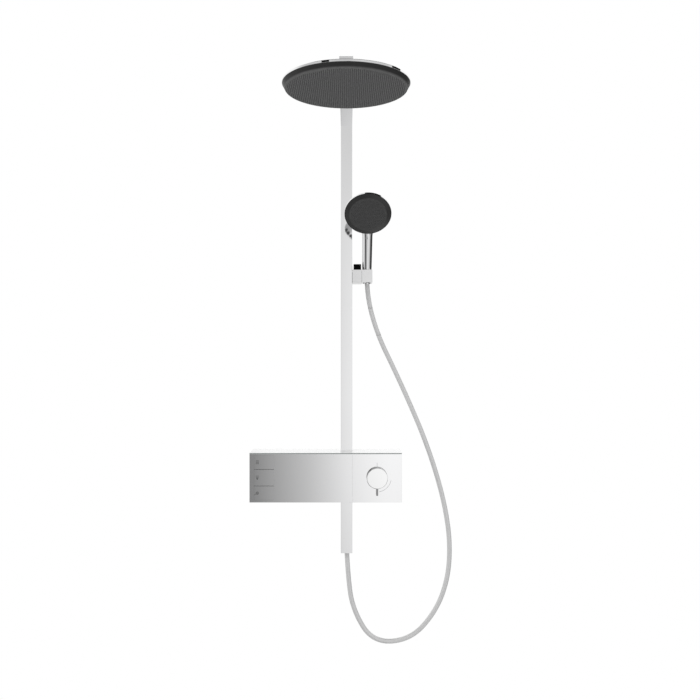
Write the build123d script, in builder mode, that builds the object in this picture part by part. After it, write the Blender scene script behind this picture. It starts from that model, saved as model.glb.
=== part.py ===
# Rainfall shower column: a thermostatic control panel, a square riser column with an overhead
# arm, a round overhead shower, and a hand shower in a sliding holder on a hanging hose.
#
# Frame: X to the right, Z up, millimetres. The finished wall is the plane Y = 0 and the object
# stands out from it towards -Y. The origin is on the wall, halfway between the two inlets.
# "Depth" below always means distance out from the wall, so Y = -depth.

import math
import os

from build123d import *

os.makedirs("parts", exist_ok=True)

# Fits
slip = 0.3  # between pieces that are assembled by hand
running = 0.05  # between a turning shaft and its hole
reveal = 0.4  # a visible parting line between two casings

# Column and arm share one rectangular profile
column_width = 30.5
column_depth = 38
column_standoff = 12
column_wall = 2.5
column_edge = 0.8
column_bottom = -207
arm_underside = 933
arm_overhang = 28
cap_thickness = 2

# Control panel
panel_width = 400
panel_height = 130
panel_ahead = 34.5
shelf_thickness = 3
plate_thickness = 3
housing_wall = 3
plate_seam = 0.15
plate_edge = 0.2

# Select buttons
button_width = 52
button_inset = 12
button_groove = 0.9
button_gap = 0.12
button_edge = 0.1
button_travel = 2.5
stem_radius = 6
cartridge_radius = 12

# Thermostat
knob_radius = 27.5
knob_length = 14
knob_wall = 3
spindle_radius = 6
thermostat_radius = 20
lever_radius = 2.6
lever_reach = 46

# Inlets
inlet_spacing = 150
inlet_thread_radius = 10.48
inlet_thread_length = 20
inlet_seal = 2
union_bore = 7
nut_across_flats = 30

# Overhead shower
head_depth = 420
head_radius = 141
face_inset = 6
face_drop = 11.6
rim_band = 5
cover_crown = 2
head_gap = 3.5
collar_height = 3.5
ball_radius = 7
ball_rise = 12
liner_thickness = 1.9

# Hand shower, laid out along its handle from the holder's pivot
handset_x = 54
pivot_depth = 58
pivot_height = 530
handle_tilt = 30
face_tilt = 42
handset_radius = 58.9
face_reach = 186.1
face_offset = 30
handle_radius_low = 12.5
handle_radius_high = 13.4

# Sliding holder
holder_height = 33
holder_back = 14
holder_ahead = 24
holder_behind = 26
socket_wall = 1.4
holder_edge = 0.5
holder_corner = 2.6
carriage_gap = 0.3
tilt_gap = 0.3
slot_width = 8
slide_down = 220
slide_up = 80
release_travel = 2.5
release_rise = 15
release_wall = 1.1
release_side_wall = 2.9
trunnion_radius = 8

# Hose
hose_radius = 6.25
hose_bore = 4
hose_thread_radius = 10.3
nut_wall = 0.5
cone_widening = 1.6
cone_start = -17
cone_end = 27.2
hose_end_recess = 15
hose_straight = 64

# Values that follow from the ones above
half_column = column_width / 2
column_back = column_standoff
column_front = column_back + column_depth
column_middle = column_front - column_depth / 2
arm_top = arm_underside + column_depth
arm_front = head_depth + arm_overhang
panel_front = column_front + panel_ahead
panel_right = half_column + panel_height
panel_left = panel_right - panel_width
panel_low = -panel_height / 2
panel_high = panel_height / 2
shelf_low = panel_high - shelf_thickness
plate_back = panel_front - plate_thickness
seam_x = half_column
knob_x = (seam_x + panel_right) / 2
half_inlets = inlet_spacing / 2
inlet_boss_radius = nut_across_flats / 2 - 2
ball_height = arm_underside + ball_rise
collar_low = arm_underside - collar_height
cover_top = collar_low - head_gap
rim_high = cover_top - cover_crown
rim_low = rim_high - rim_band
face_height = rim_low - face_drop
face_radius = head_radius - face_inset
cone_low_radius = hose_thread_radius + nut_wall
cone_high_radius = cone_low_radius + cone_widening
handle_start = cone_end + slip
holder_half_width = cone_high_radius + socket_wall
holder_front = pivot_depth + holder_ahead
socket_back = pivot_depth - holder_behind
hose_end_height = column_bottom + hose_end_recess
carriage_left = half_column + carriage_gap
carriage_right = handset_x - holder_half_width - tilt_gap
holder_low = pivot_height - holder_height / 2
holder_high = pivot_height + holder_height / 2


def box_at(x_low, x_high, back, front, z_low, z_high, mode=Mode.ADD):
    """A box given by its limits. Back and front are depths from the wall."""
    middle = ((x_low + x_high) / 2, -(back + front) / 2, (z_low + z_high) / 2)
    with Locations(middle):
        Box(x_high - x_low, front - back, z_high - z_low, mode=mode)


def rod_x(depth, z, radius, x_low, x_high, mode=Mode.ADD):
    """A cylinder along X."""
    with Locations(Location(((x_low + x_high) / 2, -depth, z), (0, 90, 0))):
        Cylinder(radius, x_high - x_low, mode=mode)


def rod_y(x, z, radius, back, front, mode=Mode.ADD):
    """A cylinder along Y."""
    with Locations(Location((x, -(back + front) / 2, z), (90, 0, 0))):
        Cylinder(radius, front - back, mode=mode)


def rod_z(x, depth, radius, z_low, z_high, mode=Mode.ADD):
    """A cylinder along Z."""
    with Locations((x, -depth, (z_low + z_high) / 2)):
        Cylinder(radius, z_high - z_low, mode=mode)


# The control panel's housing: an open-fronted tray that stands flat on the wall
with BuildPart() as panel_housing:
    box_at(panel_left, panel_right, 0, plate_back, panel_low, shelf_low)
    box_at(
        panel_left + housing_wall,
        panel_right - housing_wall,
        housing_wall,
        plate_back + 1,
        panel_low + housing_wall,
        shelf_low - housing_wall,
        Mode.SUBTRACT,
    )
    box_at(
        -half_column - reveal,
        half_column + reveal,
        column_back - reveal,
        column_front + reveal,
        panel_low - 1,
        shelf_low + 1,
        Mode.SUBTRACT,
    )
    for side in (-1, 1):
        rod_y(side * half_inlets, 0, inlet_thread_radius + 4, -1, housing_wall + 1, Mode.SUBTRACT)
panel_housing.part.label = "panel_housing"
export_step(panel_housing.part, "parts/panel_housing.step")

# The buttons stand in one column at the panel's left end, and grooves part them
button_left = panel_left + button_inset
button_right = button_left + button_width
button_x = (button_left + button_right) / 2
button_margin = 6.5
button_pitch = panel_height / 3
button_rows = [button_pitch, 0, -button_pitch]
button_low_limit = panel_low + button_margin
button_high_limit = -button_low_limit
button_spans = []
for row in button_rows:
    low = max(row - button_pitch / 2 + button_groove / 2, button_low_limit)
    high = min(row + button_pitch / 2 - button_groove / 2, button_high_limit)
    button_spans.append((low, high))

# The two front plates meet at a seam in line with the column's right side
with BuildPart() as front_plate:
    box_at(panel_left, seam_x - plate_seam / 2, plate_back, panel_front, panel_low, shelf_low)
    chamfer(front_plate.faces().sort_by(Axis.Y)[0].edges(), plate_edge)
    box_at(
        button_left,
        button_right,
        plate_back - 1,
        panel_front + 1,
        button_low_limit - button_gap,
        button_high_limit + button_gap,
        Mode.SUBTRACT,
    )
front_plate.part.label = "front_plate"
export_step(front_plate.part, "parts/front_plate.step")

with BuildPart() as thermostat_plate:
    box_at(seam_x + plate_seam / 2, panel_right, plate_back, panel_front, panel_low, shelf_low)
    chamfer(thermostat_plate.faces().sort_by(Axis.Y)[0].edges(), plate_edge)
    rod_y(knob_x, 0, spindle_radius + 6, plate_back - 1, panel_front + 1, Mode.SUBTRACT)
thermostat_plate.part.label = "thermostat_plate"
export_step(thermostat_plate.part, "parts/thermostat_plate.step")

# The glass shelf lies on the housing and is notched around the column
with BuildPart() as glass_shelf:
    box_at(panel_left, panel_right, 1, panel_front, shelf_low, panel_high)
    chamfer(glass_shelf.edges().filter_by(Axis.X), plate_edge)
    box_at(
        -half_column - reveal,
        half_column + reveal,
        0,
        column_front + reveal,
        shelf_low - 1,
        panel_high + 1,
        Mode.SUBTRACT,
    )
glass_shelf.part.label = "glass_shelf"
export_step(glass_shelf.part, "parts/glass_shelf.step")

# Select buttons: a flush pad on a stem that presses its cartridge
carrier_front = plate_back - 4.5
carrier_back = carrier_front - 3
cartridge_front = carrier_back - 0.5
cartridge_back = cartridge_front - 13.5
stem_back = cartridge_front - 1.5

low, high = button_spans[0]
with BuildPart() as select_button_top:
    box_at(button_left + button_gap, button_right - button_gap, plate_back, panel_front, low, high)
    chamfer(select_button_top.faces().sort_by(Axis.Y)[0].edges(), button_edge)
    rod_y(button_x, button_rows[0], stem_radius, stem_back, plate_back)
select_button_top.part.label = "select_button_top"
export_step(select_button_top.part, "parts/select_button_top.step")

low, high = button_spans[1]
with BuildPart() as select_button_middle:
    box_at(button_left + button_gap, button_right - button_gap, plate_back, panel_front, low, high)
    chamfer(select_button_middle.faces().sort_by(Axis.Y)[0].edges(), button_edge)
    rod_y(button_x, button_rows[1], stem_radius, stem_back, plate_back)
select_button_middle.part.label = "select_button_middle"
export_step(select_button_middle.part, "parts/select_button_middle.step")

low, high = button_spans[2]
with BuildPart() as select_button_bottom:
    box_at(button_left + button_gap, button_right - button_gap, plate_back, panel_front, low, high)
    chamfer(select_button_bottom.faces().sort_by(Axis.Y)[0].edges(), button_edge)
    rod_y(button_x, button_rows[2], stem_radius, stem_back, plate_back)
select_button_bottom.part.label = "select_button_bottom"
export_step(select_button_bottom.part, "parts/select_button_bottom.step")

# The carrier guides the stems and stands off the front plate on four posts
with BuildPart() as button_carrier:
    box_at(
        button_left - 6,
        button_right + 10,
        carrier_back,
        carrier_front,
        panel_low + 4.5,
        panel_high - 7.5,
    )
    for row in button_rows:
        rod_y(button_x, row, stem_radius + slip, carrier_back - 1, carrier_front + 1, Mode.SUBTRACT)
    for row in (-button_pitch, button_pitch):
        for post_x in (button_left - 3, button_right + 5):
            rod_y(post_x, row, 2.2, carrier_front, plate_back)
button_carrier.part.label = "button_carrier"
export_step(button_carrier.part, "parts/button_carrier.step")

# Valve body: a brass manifold in front of the column, with the thermostat's boss at the right
body_back = column_front + 1
body_front = body_back + 16
water_depth = (body_back + body_front) / 2
water_radius = 5.5
boss_back = 36
inlet_boss_back = 24
port_offset = 9
port_radius = 6
thermostat_back = boss_back + 8
with BuildPart() as valve_body:
    box_at(button_left - 3, button_right - 3, body_back, body_front, panel_low + 7, panel_high - 9)
    box_at(button_right - 3, knob_x, body_back, body_front, -16, 16)
    rod_y(knob_x, 0, thermostat_radius + 6, boss_back, body_front + 5)
    rod_y(-half_inlets, 0, inlet_boss_radius, inlet_boss_back, body_back)
    rod_y(half_inlets, 0, inlet_boss_radius, inlet_boss_back, boss_back + 1)
    for row in button_rows:
        rod_y(button_x, row, cartridge_radius + slip, cartridge_back, body_front + 1, Mode.SUBTRACT)
    rod_y(knob_x, 0, thermostat_radius + slip, thermostat_back, body_front + 6, Mode.SUBTRACT)
    rod_x(water_depth, 0, water_radius, button_x, knob_x - thermostat_radius, Mode.SUBTRACT)
    rod_z(button_x, water_depth, water_radius, -button_pitch, button_pitch, Mode.SUBTRACT)
    rod_y(-half_inlets, 0, union_bore, inlet_boss_back - 1, water_depth, Mode.SUBTRACT)
    rod_y(half_inlets, 0, union_bore, inlet_boss_back - 1, thermostat_back + 1, Mode.SUBTRACT)
    for row in (-port_offset, port_offset):
        rod_y(0, row, port_radius + running, body_back - 1, water_depth, Mode.SUBTRACT)
valve_body.part.label = "valve_body"
export_step(valve_body.part, "parts/valve_body.step")

with BuildPart() as select_cartridges:
    for row in button_rows:
        rod_y(button_x, row, cartridge_radius, cartridge_back, cartridge_front)
        stem_stop = stem_back - button_travel - 3
        rod_y(button_x, row, stem_radius + slip, stem_stop, cartridge_front + 1, Mode.SUBTRACT)
select_cartridges.part.label = "select_cartridges"
export_step(select_cartridges.part, "parts/select_cartridges.step")

thermostat_front = body_front + 7
with BuildPart() as thermostat_cartridge:
    rod_y(knob_x, 0, thermostat_radius, thermostat_back + slip, thermostat_front)
    rod_y(knob_x, 0, spindle_radius + running, thermostat_back + 8, thermostat_front + 1, Mode.SUBTRACT)
thermostat_cartridge.part.label = "thermostat_cartridge"
export_step(thermostat_cartridge.part, "parts/thermostat_cartridge.step")

# The knob is a cup on a hub, and its lever goes in from below
knob_back = panel_front + 0.8
knob_front = knob_back + knob_length
lever_depth = knob_back + knob_length / 2
with BuildPart() as thermostat_spindle:
    rod_y(knob_x, 0, spindle_radius, thermostat_back + 9, knob_front - knob_wall - 2)
thermostat_spindle.part.label = "thermostat_spindle"
export_step(thermostat_spindle.part, "parts/thermostat_spindle.step")

with BuildPart() as thermostat_knob:
    rod_y(knob_x, 0, knob_radius, knob_back, knob_front)
    fillet(thermostat_knob.faces().sort_by(Axis.Y)[0].edges(), 1.6)
    rod_y(knob_x, 0, knob_radius - knob_wall, knob_back - 1, knob_front - knob_wall, Mode.SUBTRACT)
    rod_y(knob_x, 0, spindle_radius + 4, knob_back + 4, knob_front - knob_wall)
    rod_y(knob_x, 0, spindle_radius + running, knob_back - 1, knob_front - knob_wall - 1.5, Mode.SUBTRACT)
    rod_z(knob_x, lever_depth, lever_radius + running, -knob_radius - 1, -knob_radius / 2, Mode.SUBTRACT)
thermostat_knob.part.label = "thermostat_knob"
export_step(thermostat_knob.part, "parts/thermostat_knob.step")

with BuildPart() as knob_lever:
    rod_z(knob_x, lever_depth, lever_radius, -lever_reach, -knob_radius + knob_wall + 2)
    fillet(knob_lever.faces().sort_by(Axis.Z)[0].edges(), 1.2)
knob_lever.part.label = "knob_lever"
export_step(knob_lever.part, "parts/knob_lever.step")

# Inlet unions: the threaded end goes 20 mm into the wall's fitting
union_end = inlet_boss_back - inlet_seal
with BuildPart() as inlet_union_left:
    rod_y(-half_inlets, 0, inlet_thread_radius, -inlet_thread_length, 4)
    rod_y(-half_inlets, 0, inlet_thread_radius + 3, housing_wall + 0.5, 11)
    rod_y(-half_inlets, 0, inlet_thread_radius, 10, union_end)
    rod_y(-half_inlets, 0, inlet_boss_radius - slip, union_end - 3, union_end)
    rod_y(-half_inlets, 0, union_bore, -inlet_thread_length - 1, union_end + 1, Mode.SUBTRACT)
inlet_union_left.part.label = "inlet_union_left"
export_step(inlet_union_left.part, "parts/inlet_union_left.step")

with BuildPart() as inlet_union_right:
    rod_y(half_inlets, 0, inlet_thread_radius, -inlet_thread_length, 4)
    rod_y(half_inlets, 0, inlet_thread_radius + 3, housing_wall + 0.5, 11)
    rod_y(half_inlets, 0, inlet_thread_radius, 10, union_end)
    rod_y(half_inlets, 0, inlet_boss_radius - slip, union_end - 3, union_end)
    rod_y(half_inlets, 0, union_bore, -inlet_thread_length - 1, union_end + 1, Mode.SUBTRACT)
inlet_union_right.part.label = "inlet_union_right"
export_step(inlet_union_right.part, "parts/inlet_union_right.step")

nut_back = 12
nut_front = boss_back - 2
nut_shoulder = union_end - 3 - slip
with BuildPart() as union_nut_left:
    with BuildSketch(Plane(origin=(-half_inlets, -nut_back, 0), x_dir=(1, 0, 0), z_dir=(0, -1, 0))):
        RegularPolygon(nut_across_flats / 2, 6, major_radius=False)
    extrude(amount=nut_front - nut_back)
    rod_y(-half_inlets, 0, inlet_thread_radius + slip, nut_back - 1, nut_front + 1, Mode.SUBTRACT)
    rod_y(-half_inlets, 0, inlet_boss_radius + running, nut_shoulder, nut_front + 1, Mode.SUBTRACT)
union_nut_left.part.label = "union_nut_left"
export_step(union_nut_left.part, "parts/union_nut_left.step")

with BuildPart() as union_nut_right:
    with BuildSketch(Plane(origin=(half_inlets, -nut_back, 0), x_dir=(1, 0, 0), z_dir=(0, -1, 0))):
        RegularPolygon(nut_across_flats / 2, 6, major_radius=False)
    extrude(amount=nut_front - nut_back)
    rod_y(half_inlets, 0, inlet_thread_radius + slip, nut_back - 1, nut_front + 1, Mode.SUBTRACT)
    rod_y(half_inlets, 0, inlet_boss_radius + running, nut_shoulder, nut_front + 1, Mode.SUBTRACT)
union_nut_right.part.label = "union_nut_right"
export_step(union_nut_right.part, "parts/union_nut_right.step")

with BuildPart() as inlet_seals:
    for side in (-1, 1):
        rod_y(side * half_inlets, 0, inlet_boss_radius - slip, union_end, inlet_boss_back)
        rod_y(side * half_inlets, 0, union_bore, union_end - 1, inlet_boss_back + 1, Mode.SUBTRACT)
inlet_seals.part.label = "inlet_seals"
export_step(inlet_seals.part, "parts/inlet_seals.step")

# Column: a rectangular tube with the slider's slot in its right side
shoe_half = 14
slot_low = pivot_height - shoe_half - slide_down - 2
slot_high = pivot_height + shoe_half + slide_up + 2
inner_half = half_column - column_wall
with BuildPart() as column_profile:
    box_at(-half_column, half_column, column_back, column_front, column_bottom, arm_underside)
    fillet(column_profile.edges().filter_by(Axis.Z), column_edge)
    box_at(
        -inner_half,
        inner_half,
        column_back + column_wall,
        column_front - column_wall,
        column_bottom - 1,
        arm_underside + 1,
        Mode.SUBTRACT,
    )
    box_at(
        inner_half - 1,
        half_column + 1,
        column_middle - slot_width / 2,
        column_middle + slot_width / 2,
        slot_low,
        slot_high,
        Mode.SUBTRACT,
    )
    for row in (-port_offset, port_offset):
        rod_y(0, row, port_radius + slip, column_front - column_wall - 1, column_front + 1, Mode.SUBTRACT)
column_profile.part.label = "column_profile"
export_step(column_profile.part, "parts/column_profile.step")

# The slider's rail is a channel fixed behind the slot
groove_width = 14
groove_depth = 5
rail_wall = 2
rail_left = inner_half - groove_depth - rail_wall
with BuildPart() as slider_rail:
    box_at(
        rail_left,
        inner_half,
        column_middle - groove_width / 2 - rail_wall,
        column_middle + groove_width / 2 + rail_wall,
        slot_low - 12,
        slot_high + 12,
    )
    box_at(
        inner_half - groove_depth,
        inner_half + 1,
        column_middle - groove_width / 2,
        column_middle + groove_width / 2,
        slot_low - 1,
        slot_high + 1,
        Mode.SUBTRACT,
    )
slider_rail.part.label = "slider_rail"
export_step(slider_rail.part, "parts/slider_rail.step")

# Water path inside the column
pipe_radius = 7
pipe_bore = 5.5
pipe_socket = pipe_radius + running
riser_x = (rail_left - inner_half) / 2
manifold_half = 30
manifold_front = column_front - column_wall - slip
manifold_back = column_back + column_wall + slip
with BuildPart() as column_manifold:
    box_at(
        -inner_half + slip,
        inner_half - slip,
        manifold_back,
        manifold_front,
        -manifold_half,
        manifold_half,
    )
    rod_z(riser_x, column_middle, pipe_socket, manifold_half - 10, manifold_half + 1, Mode.SUBTRACT)
    rod_z(riser_x, column_middle, pipe_bore, port_offset, manifold_half, Mode.SUBTRACT)
    rod_z(0, column_middle, pipe_socket, -manifold_half - 1, -manifold_half + 10, Mode.SUBTRACT)
    rod_z(0, column_middle, pipe_bore, -manifold_half, -port_offset, Mode.SUBTRACT)
    for row in (-port_offset, port_offset):
        rod_y(0, row, port_radius + running, manifold_front - 7, manifold_front + 1, Mode.SUBTRACT)
        rod_y(0, row, port_radius - 1.5, column_middle - 4, manifold_front, Mode.SUBTRACT)
column_manifold.part.label = "column_manifold"
export_step(column_manifold.part, "parts/column_manifold.step")

with BuildPart() as transfer_nipples:
    for row in (-port_offset, port_offset):
        rod_y(0, row, port_radius, manifold_front - 6, water_depth - 3)
        rod_y(0, row, port_radius - 1.5, manifold_front - 7, water_depth, Mode.SUBTRACT)
transfer_nipples.part.label = "transfer_nipples"
export_step(transfer_nipples.part, "parts/transfer_nipples.step")

elbow_reach = 30
elbow_low = arm_underside - elbow_reach
elbow_high = arm_top - column_wall - slip
arm_water_height = (arm_underside + arm_top) / 2
with BuildPart() as riser_tube:
    rod_z(riser_x, column_middle, pipe_radius, manifold_half - 9, elbow_low + 9)
    rod_z(riser_x, column_middle, pipe_bore, manifold_half - 10, elbow_low + 10, Mode.SUBTRACT)
riser_tube.part.label = "riser_tube"
export_step(riser_tube.part, "parts/riser_tube.step")

# The hose joins a threaded outlet inside the column's lower end
outlet_length = 30
outlet_high = hose_end_height + outlet_length
outlet_radius = 8.33
with BuildPart() as outlet_tube:
    rod_z(0, column_middle, pipe_radius, outlet_high - 9, -manifold_half + 9)
    rod_z(0, column_middle, pipe_bore, outlet_high - 10, -manifold_half + 10, Mode.SUBTRACT)
outlet_tube.part.label = "outlet_tube"
export_step(outlet_tube.part, "parts/outlet_tube.step")

with BuildPart() as hose_outlet:
    box_at(
        -inner_half + slip,
        inner_half - slip,
        manifold_back,
        manifold_front,
        outlet_high - 12,
        outlet_high,
    )
    rod_z(0, column_middle, outlet_radius, hose_end_height + 2, outlet_high - 12)
    rod_z(0, column_middle, pipe_socket, outlet_high - 10, outlet_high + 1, Mode.SUBTRACT)
    rod_z(0, column_middle, pipe_bore, hose_end_height, outlet_high, Mode.SUBTRACT)
hose_outlet.part.label = "hose_outlet"
export_step(hose_outlet.part, "parts/hose_outlet.step")

cap_hole_margin = 1.65
cap_hole_radius = inner_half - cap_hole_margin
end_nut_radius = cap_hole_radius - slip
end_nut_low = hose_end_height - 8
end_nut_high = hose_end_height + 14
with BuildPart() as hose_end_nut:
    rod_z(0, column_middle, end_nut_radius, end_nut_low, end_nut_high)
    rod_z(0, column_middle, hose_radius + slip, end_nut_low - 1, end_nut_high, Mode.SUBTRACT)
    rod_z(0, column_middle, outlet_radius + running, hose_end_height, end_nut_high + 1, Mode.SUBTRACT)
hose_end_nut.part.label = "hose_end_nut"
export_step(hose_end_nut.part, "parts/hose_end_nut.step")

with BuildPart() as hose_end_washer:
    rod_z(0, column_middle, outlet_radius - slip, hose_end_height, hose_end_height + 2)
    rod_z(0, column_middle, hose_bore, hose_end_height - 1, hose_end_height + 3, Mode.SUBTRACT)
hose_end_washer.part.label = "hose_end_washer"
export_step(hose_end_washer.part, "parts/hose_end_washer.step")

with BuildPart() as column_end_cap:
    box_at(
        -inner_half,
        inner_half,
        column_back + column_wall,
        column_front - column_wall,
        column_bottom,
        column_bottom + cap_thickness,
    )
    rod_z(0, column_middle, cap_hole_radius, column_bottom - 1, column_bottom + 10, Mode.SUBTRACT)
column_end_cap.part.label = "column_end_cap"
export_step(column_end_cap.part, "parts/column_end_cap.step")

# Arm: the same profile laid flat on the column's top end
arm_end = arm_front - cap_thickness
collar_radius = 14.5
retainer_radius = inner_half - 0.5
with BuildPart() as arm_profile:
    box_at(-half_column, half_column, column_back + cap_thickness, arm_end, arm_underside, arm_top)
    fillet(arm_profile.edges().filter_by(Axis.Y), column_edge)
    box_at(
        -inner_half,
        inner_half,
        column_back,
        arm_front,
        arm_underside + column_wall,
        arm_top - column_wall,
        Mode.SUBTRACT,
    )
    box_at(
        -inner_half,
        inner_half,
        column_back + column_wall,
        column_front - column_wall,
        arm_underside - 1,
        arm_underside + column_wall + 1,
        Mode.SUBTRACT,
    )
    rod_z(
        0, head_depth, retainer_radius + slip, arm_underside - 1, arm_underside + column_wall + 1,
        Mode.SUBTRACT,
    )
arm_profile.part.label = "arm_profile"
export_step(arm_profile.part, "parts/arm_profile.step")

with BuildPart() as arm_front_cap:
    box_at(-half_column, half_column, arm_end, arm_front, arm_underside, arm_top)
    fillet(arm_front_cap.faces().sort_by(Axis.Y)[0].edges(), column_edge)
    box_at(
        -inner_half + slip,
        inner_half - slip,
        arm_end - 5,
        arm_end,
        arm_underside + column_wall + slip,
        arm_top - column_wall - slip,
    )
arm_front_cap.part.label = "arm_front_cap"
export_step(arm_front_cap.part, "parts/arm_front_cap.step")

with BuildPart() as arm_back_cap:
    box_at(-half_column, half_column, column_back, column_back + cap_thickness, arm_underside, arm_top)
    fillet(arm_back_cap.faces().sort_by(Axis.Y)[-1].edges(), column_edge)
arm_back_cap.part.label = "arm_back_cap"
export_step(arm_back_cap.part, "parts/arm_back_cap.step")

with BuildPart() as riser_elbow:
    box_at(-inner_half + slip, inner_half - slip, manifold_back, manifold_front, elbow_low, elbow_high)
    rod_z(riser_x, column_middle, pipe_socket, elbow_low - 1, elbow_low + 10, Mode.SUBTRACT)
    rod_z(riser_x, column_middle, pipe_bore, elbow_low, arm_water_height, Mode.SUBTRACT)
    rod_y(riser_x, arm_water_height, pipe_socket, manifold_front - 10, manifold_front + 1, Mode.SUBTRACT)
    rod_y(riser_x, arm_water_height, pipe_bore, column_middle, manifold_front, Mode.SUBTRACT)
riser_elbow.part.label = "riser_elbow"
export_step(riser_elbow.part, "parts/riser_elbow.step")

# Ball joint at the arm's front end: socket block, threaded retainer, slippery liner, ball
socket_half = 17
socket_low = ball_height - 7
socket_high = elbow_high
cavity_radius = ball_radius + liner_thickness + 2 * slip
liner_half = 4
socket_rear = head_depth - socket_half
with BuildPart() as ball_socket:
    box_at(
        -inner_half + slip,
        inner_half - slip,
        socket_rear,
        head_depth + socket_half,
        socket_low,
        socket_high,
    )
    with Locations((0, -head_depth, ball_height)):
        Sphere(cavity_radius, mode=Mode.SUBTRACT)
    rod_z(0, head_depth, retainer_radius + running, socket_low - 1, ball_height, Mode.SUBTRACT)
    rod_y(riser_x, arm_water_height, pipe_socket, socket_rear - 1, socket_rear + 5, Mode.SUBTRACT)
    rod_y(riser_x, arm_water_height, pipe_bore - 2.5, socket_rear, head_depth - 5, Mode.SUBTRACT)
ball_socket.part.label = "ball_socket"
export_step(ball_socket.part, "parts/ball_socket.step")

retainer_bore = ball_radius + 0.9
with BuildPart() as ball_retainer:
    rod_z(0, head_depth, retainer_radius, arm_underside, ball_height - slip)
    rod_z(0, head_depth, collar_radius, collar_low, arm_underside)
    fillet(ball_retainer.faces().sort_by(Axis.Z)[0].edges(), 0.8)
    with Locations((0, -head_depth, ball_height)):
        Sphere(cavity_radius, mode=Mode.SUBTRACT)
    rod_z(0, head_depth, retainer_bore, collar_low - 1, ball_height, Mode.SUBTRACT)
ball_retainer.part.label = "ball_retainer"
export_step(ball_retainer.part, "parts/ball_retainer.step")

with BuildPart() as arm_tube:
    rod_y(riser_x, arm_water_height, pipe_radius, manifold_front - 9, socket_rear + 4)
    rod_y(riser_x, arm_water_height, pipe_bore, manifold_front - 10, socket_rear + 5, Mode.SUBTRACT)
arm_tube.part.label = "arm_tube"
export_step(arm_tube.part, "parts/arm_tube.step")

with BuildPart() as ball_liner:
    with Locations((0, -head_depth, ball_height)):
        Sphere(ball_radius + slip + liner_thickness)
        Sphere(ball_radius + slip, mode=Mode.SUBTRACT)
        Box(4 * cavity_radius, 4 * cavity_radius, 2 * liner_half, mode=Mode.INTERSECT)
ball_liner.part.label = "ball_liner"
export_step(ball_liner.part, "parts/ball_liner.step")

# Overhead shower, turned about its own vertical axis
head_axis = Axis((0, -head_depth, 0), (0, 0, 1))
head_section = Plane(origin=(0, -head_depth, 0), x_dir=(1, 0, 0), z_dir=(0, -1, 0))
ball_stem = 4.2
cover_thickness = 2
with BuildPart() as head_cover:
    with BuildSketch(head_section):
        with BuildLine():
            ThreePointArc(
                (ball_stem + 1, cover_top),
                (head_radius * 0.55, cover_top - cover_crown / 3),
                (head_radius - 1.4, rim_high),
            )
            Polyline(
                (head_radius - 1.4, rim_high),
                (head_radius, rim_high - 1.2),
                (head_radius, rim_low),
                (head_radius - cover_thickness, rim_low),
                (head_radius - cover_thickness, rim_high - cover_thickness),
            )
            ThreePointArc(
                (head_radius - cover_thickness, rim_high - cover_thickness),
                (head_radius * 0.55, cover_top - cover_crown / 3 - cover_thickness),
                (ball_stem + 1, cover_top - cover_thickness),
            )
            Line((ball_stem + 1, cover_top - cover_thickness), (ball_stem + 1, cover_top))
        make_face()
    revolve(axis=head_axis)
head_cover.part.label = "head_cover"
export_step(head_cover.part, "parts/head_cover.step")

plate_top = rim_low - 0.2
with BuildPart() as spray_plate:
    with BuildSketch(head_section):
        with BuildLine():
            Polyline(
                (0, face_height),
                (face_radius - 0.6, face_height),
                (face_radius, face_height + 0.5),
                (head_radius - 0.5, plate_top),
                (head_radius - 3.2, plate_top),
                (face_radius - 2.2, face_height + 2.5),
                (0, face_height + 2.5),
                (0, face_height),
            )
        make_face()
    revolve(axis=head_axis)
spray_plate.part.label = "spray_plate"
export_step(spray_plate.part, "parts/spray_plate.step")

with BuildPart() as nozzle_mat:
    rod_z(0, head_depth, face_radius - 3, face_height + 2.5, face_height + 4)
nozzle_mat.part.label = "nozzle_mat"
export_step(nozzle_mat.part, "parts/nozzle_mat.step")

flange_radius = 18
flange_top = cover_top - cover_thickness - slip
with BuildPart() as head_ball:
    with Locations((0, -head_depth, ball_height)):
        Sphere(ball_radius)
    rod_z(0, head_depth, ball_stem, flange_top, ball_height)
    rod_z(0, head_depth, flange_radius, flange_top - 4, flange_top)
    rod_z(0, head_depth, ball_stem - 2, flange_top - 5, ball_height + ball_radius, Mode.SUBTRACT)
head_ball.part.label = "head_ball"
export_step(head_ball.part, "parts/head_ball.step")

# Upper wall bracket: a plate screwed to the wall, and a block on the column that hangs on it
bracket_drop = 83
bracket_height = arm_underside - bracket_drop
bracket_spacing = 40
bracket_hole = 2.75
bracket_half = 30
plate_front = 4
tongue_half = 8
tongue_front = plate_front + 4.5
with BuildPart() as wall_plate:
    box_at(
        -inner_half,
        inner_half,
        0,
        plate_front,
        bracket_height - bracket_half,
        bracket_height + bracket_half,
    )
    fillet(wall_plate.edges().filter_by(Axis.Y), 3)
    box_at(-tongue_half, tongue_half, plate_front, tongue_front, bracket_height - 8, bracket_height + 6)
    for row in (-bracket_spacing / 2, bracket_spacing / 2):
        rod_y(0, bracket_height + row, bracket_hole, -1, plate_front + 1, Mode.SUBTRACT)
wall_plate.part.label = "wall_plate"
export_step(wall_plate.part, "parts/wall_plate.step")

with BuildPart() as hanger_block:
    box_at(
        -inner_half,
        inner_half,
        plate_front + slip,
        column_back,
        bracket_height - 12,
        bracket_height + 12,
    )
    box_at(
        -tongue_half - slip,
        tongue_half + slip,
        plate_front,
        tongue_front + slip,
        bracket_height - 13,
        bracket_height + 6 + slip,
        Mode.SUBTRACT,
    )
hanger_block.part.label = "hanger_block"
export_step(hanger_block.part, "parts/hanger_block.step")

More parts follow.
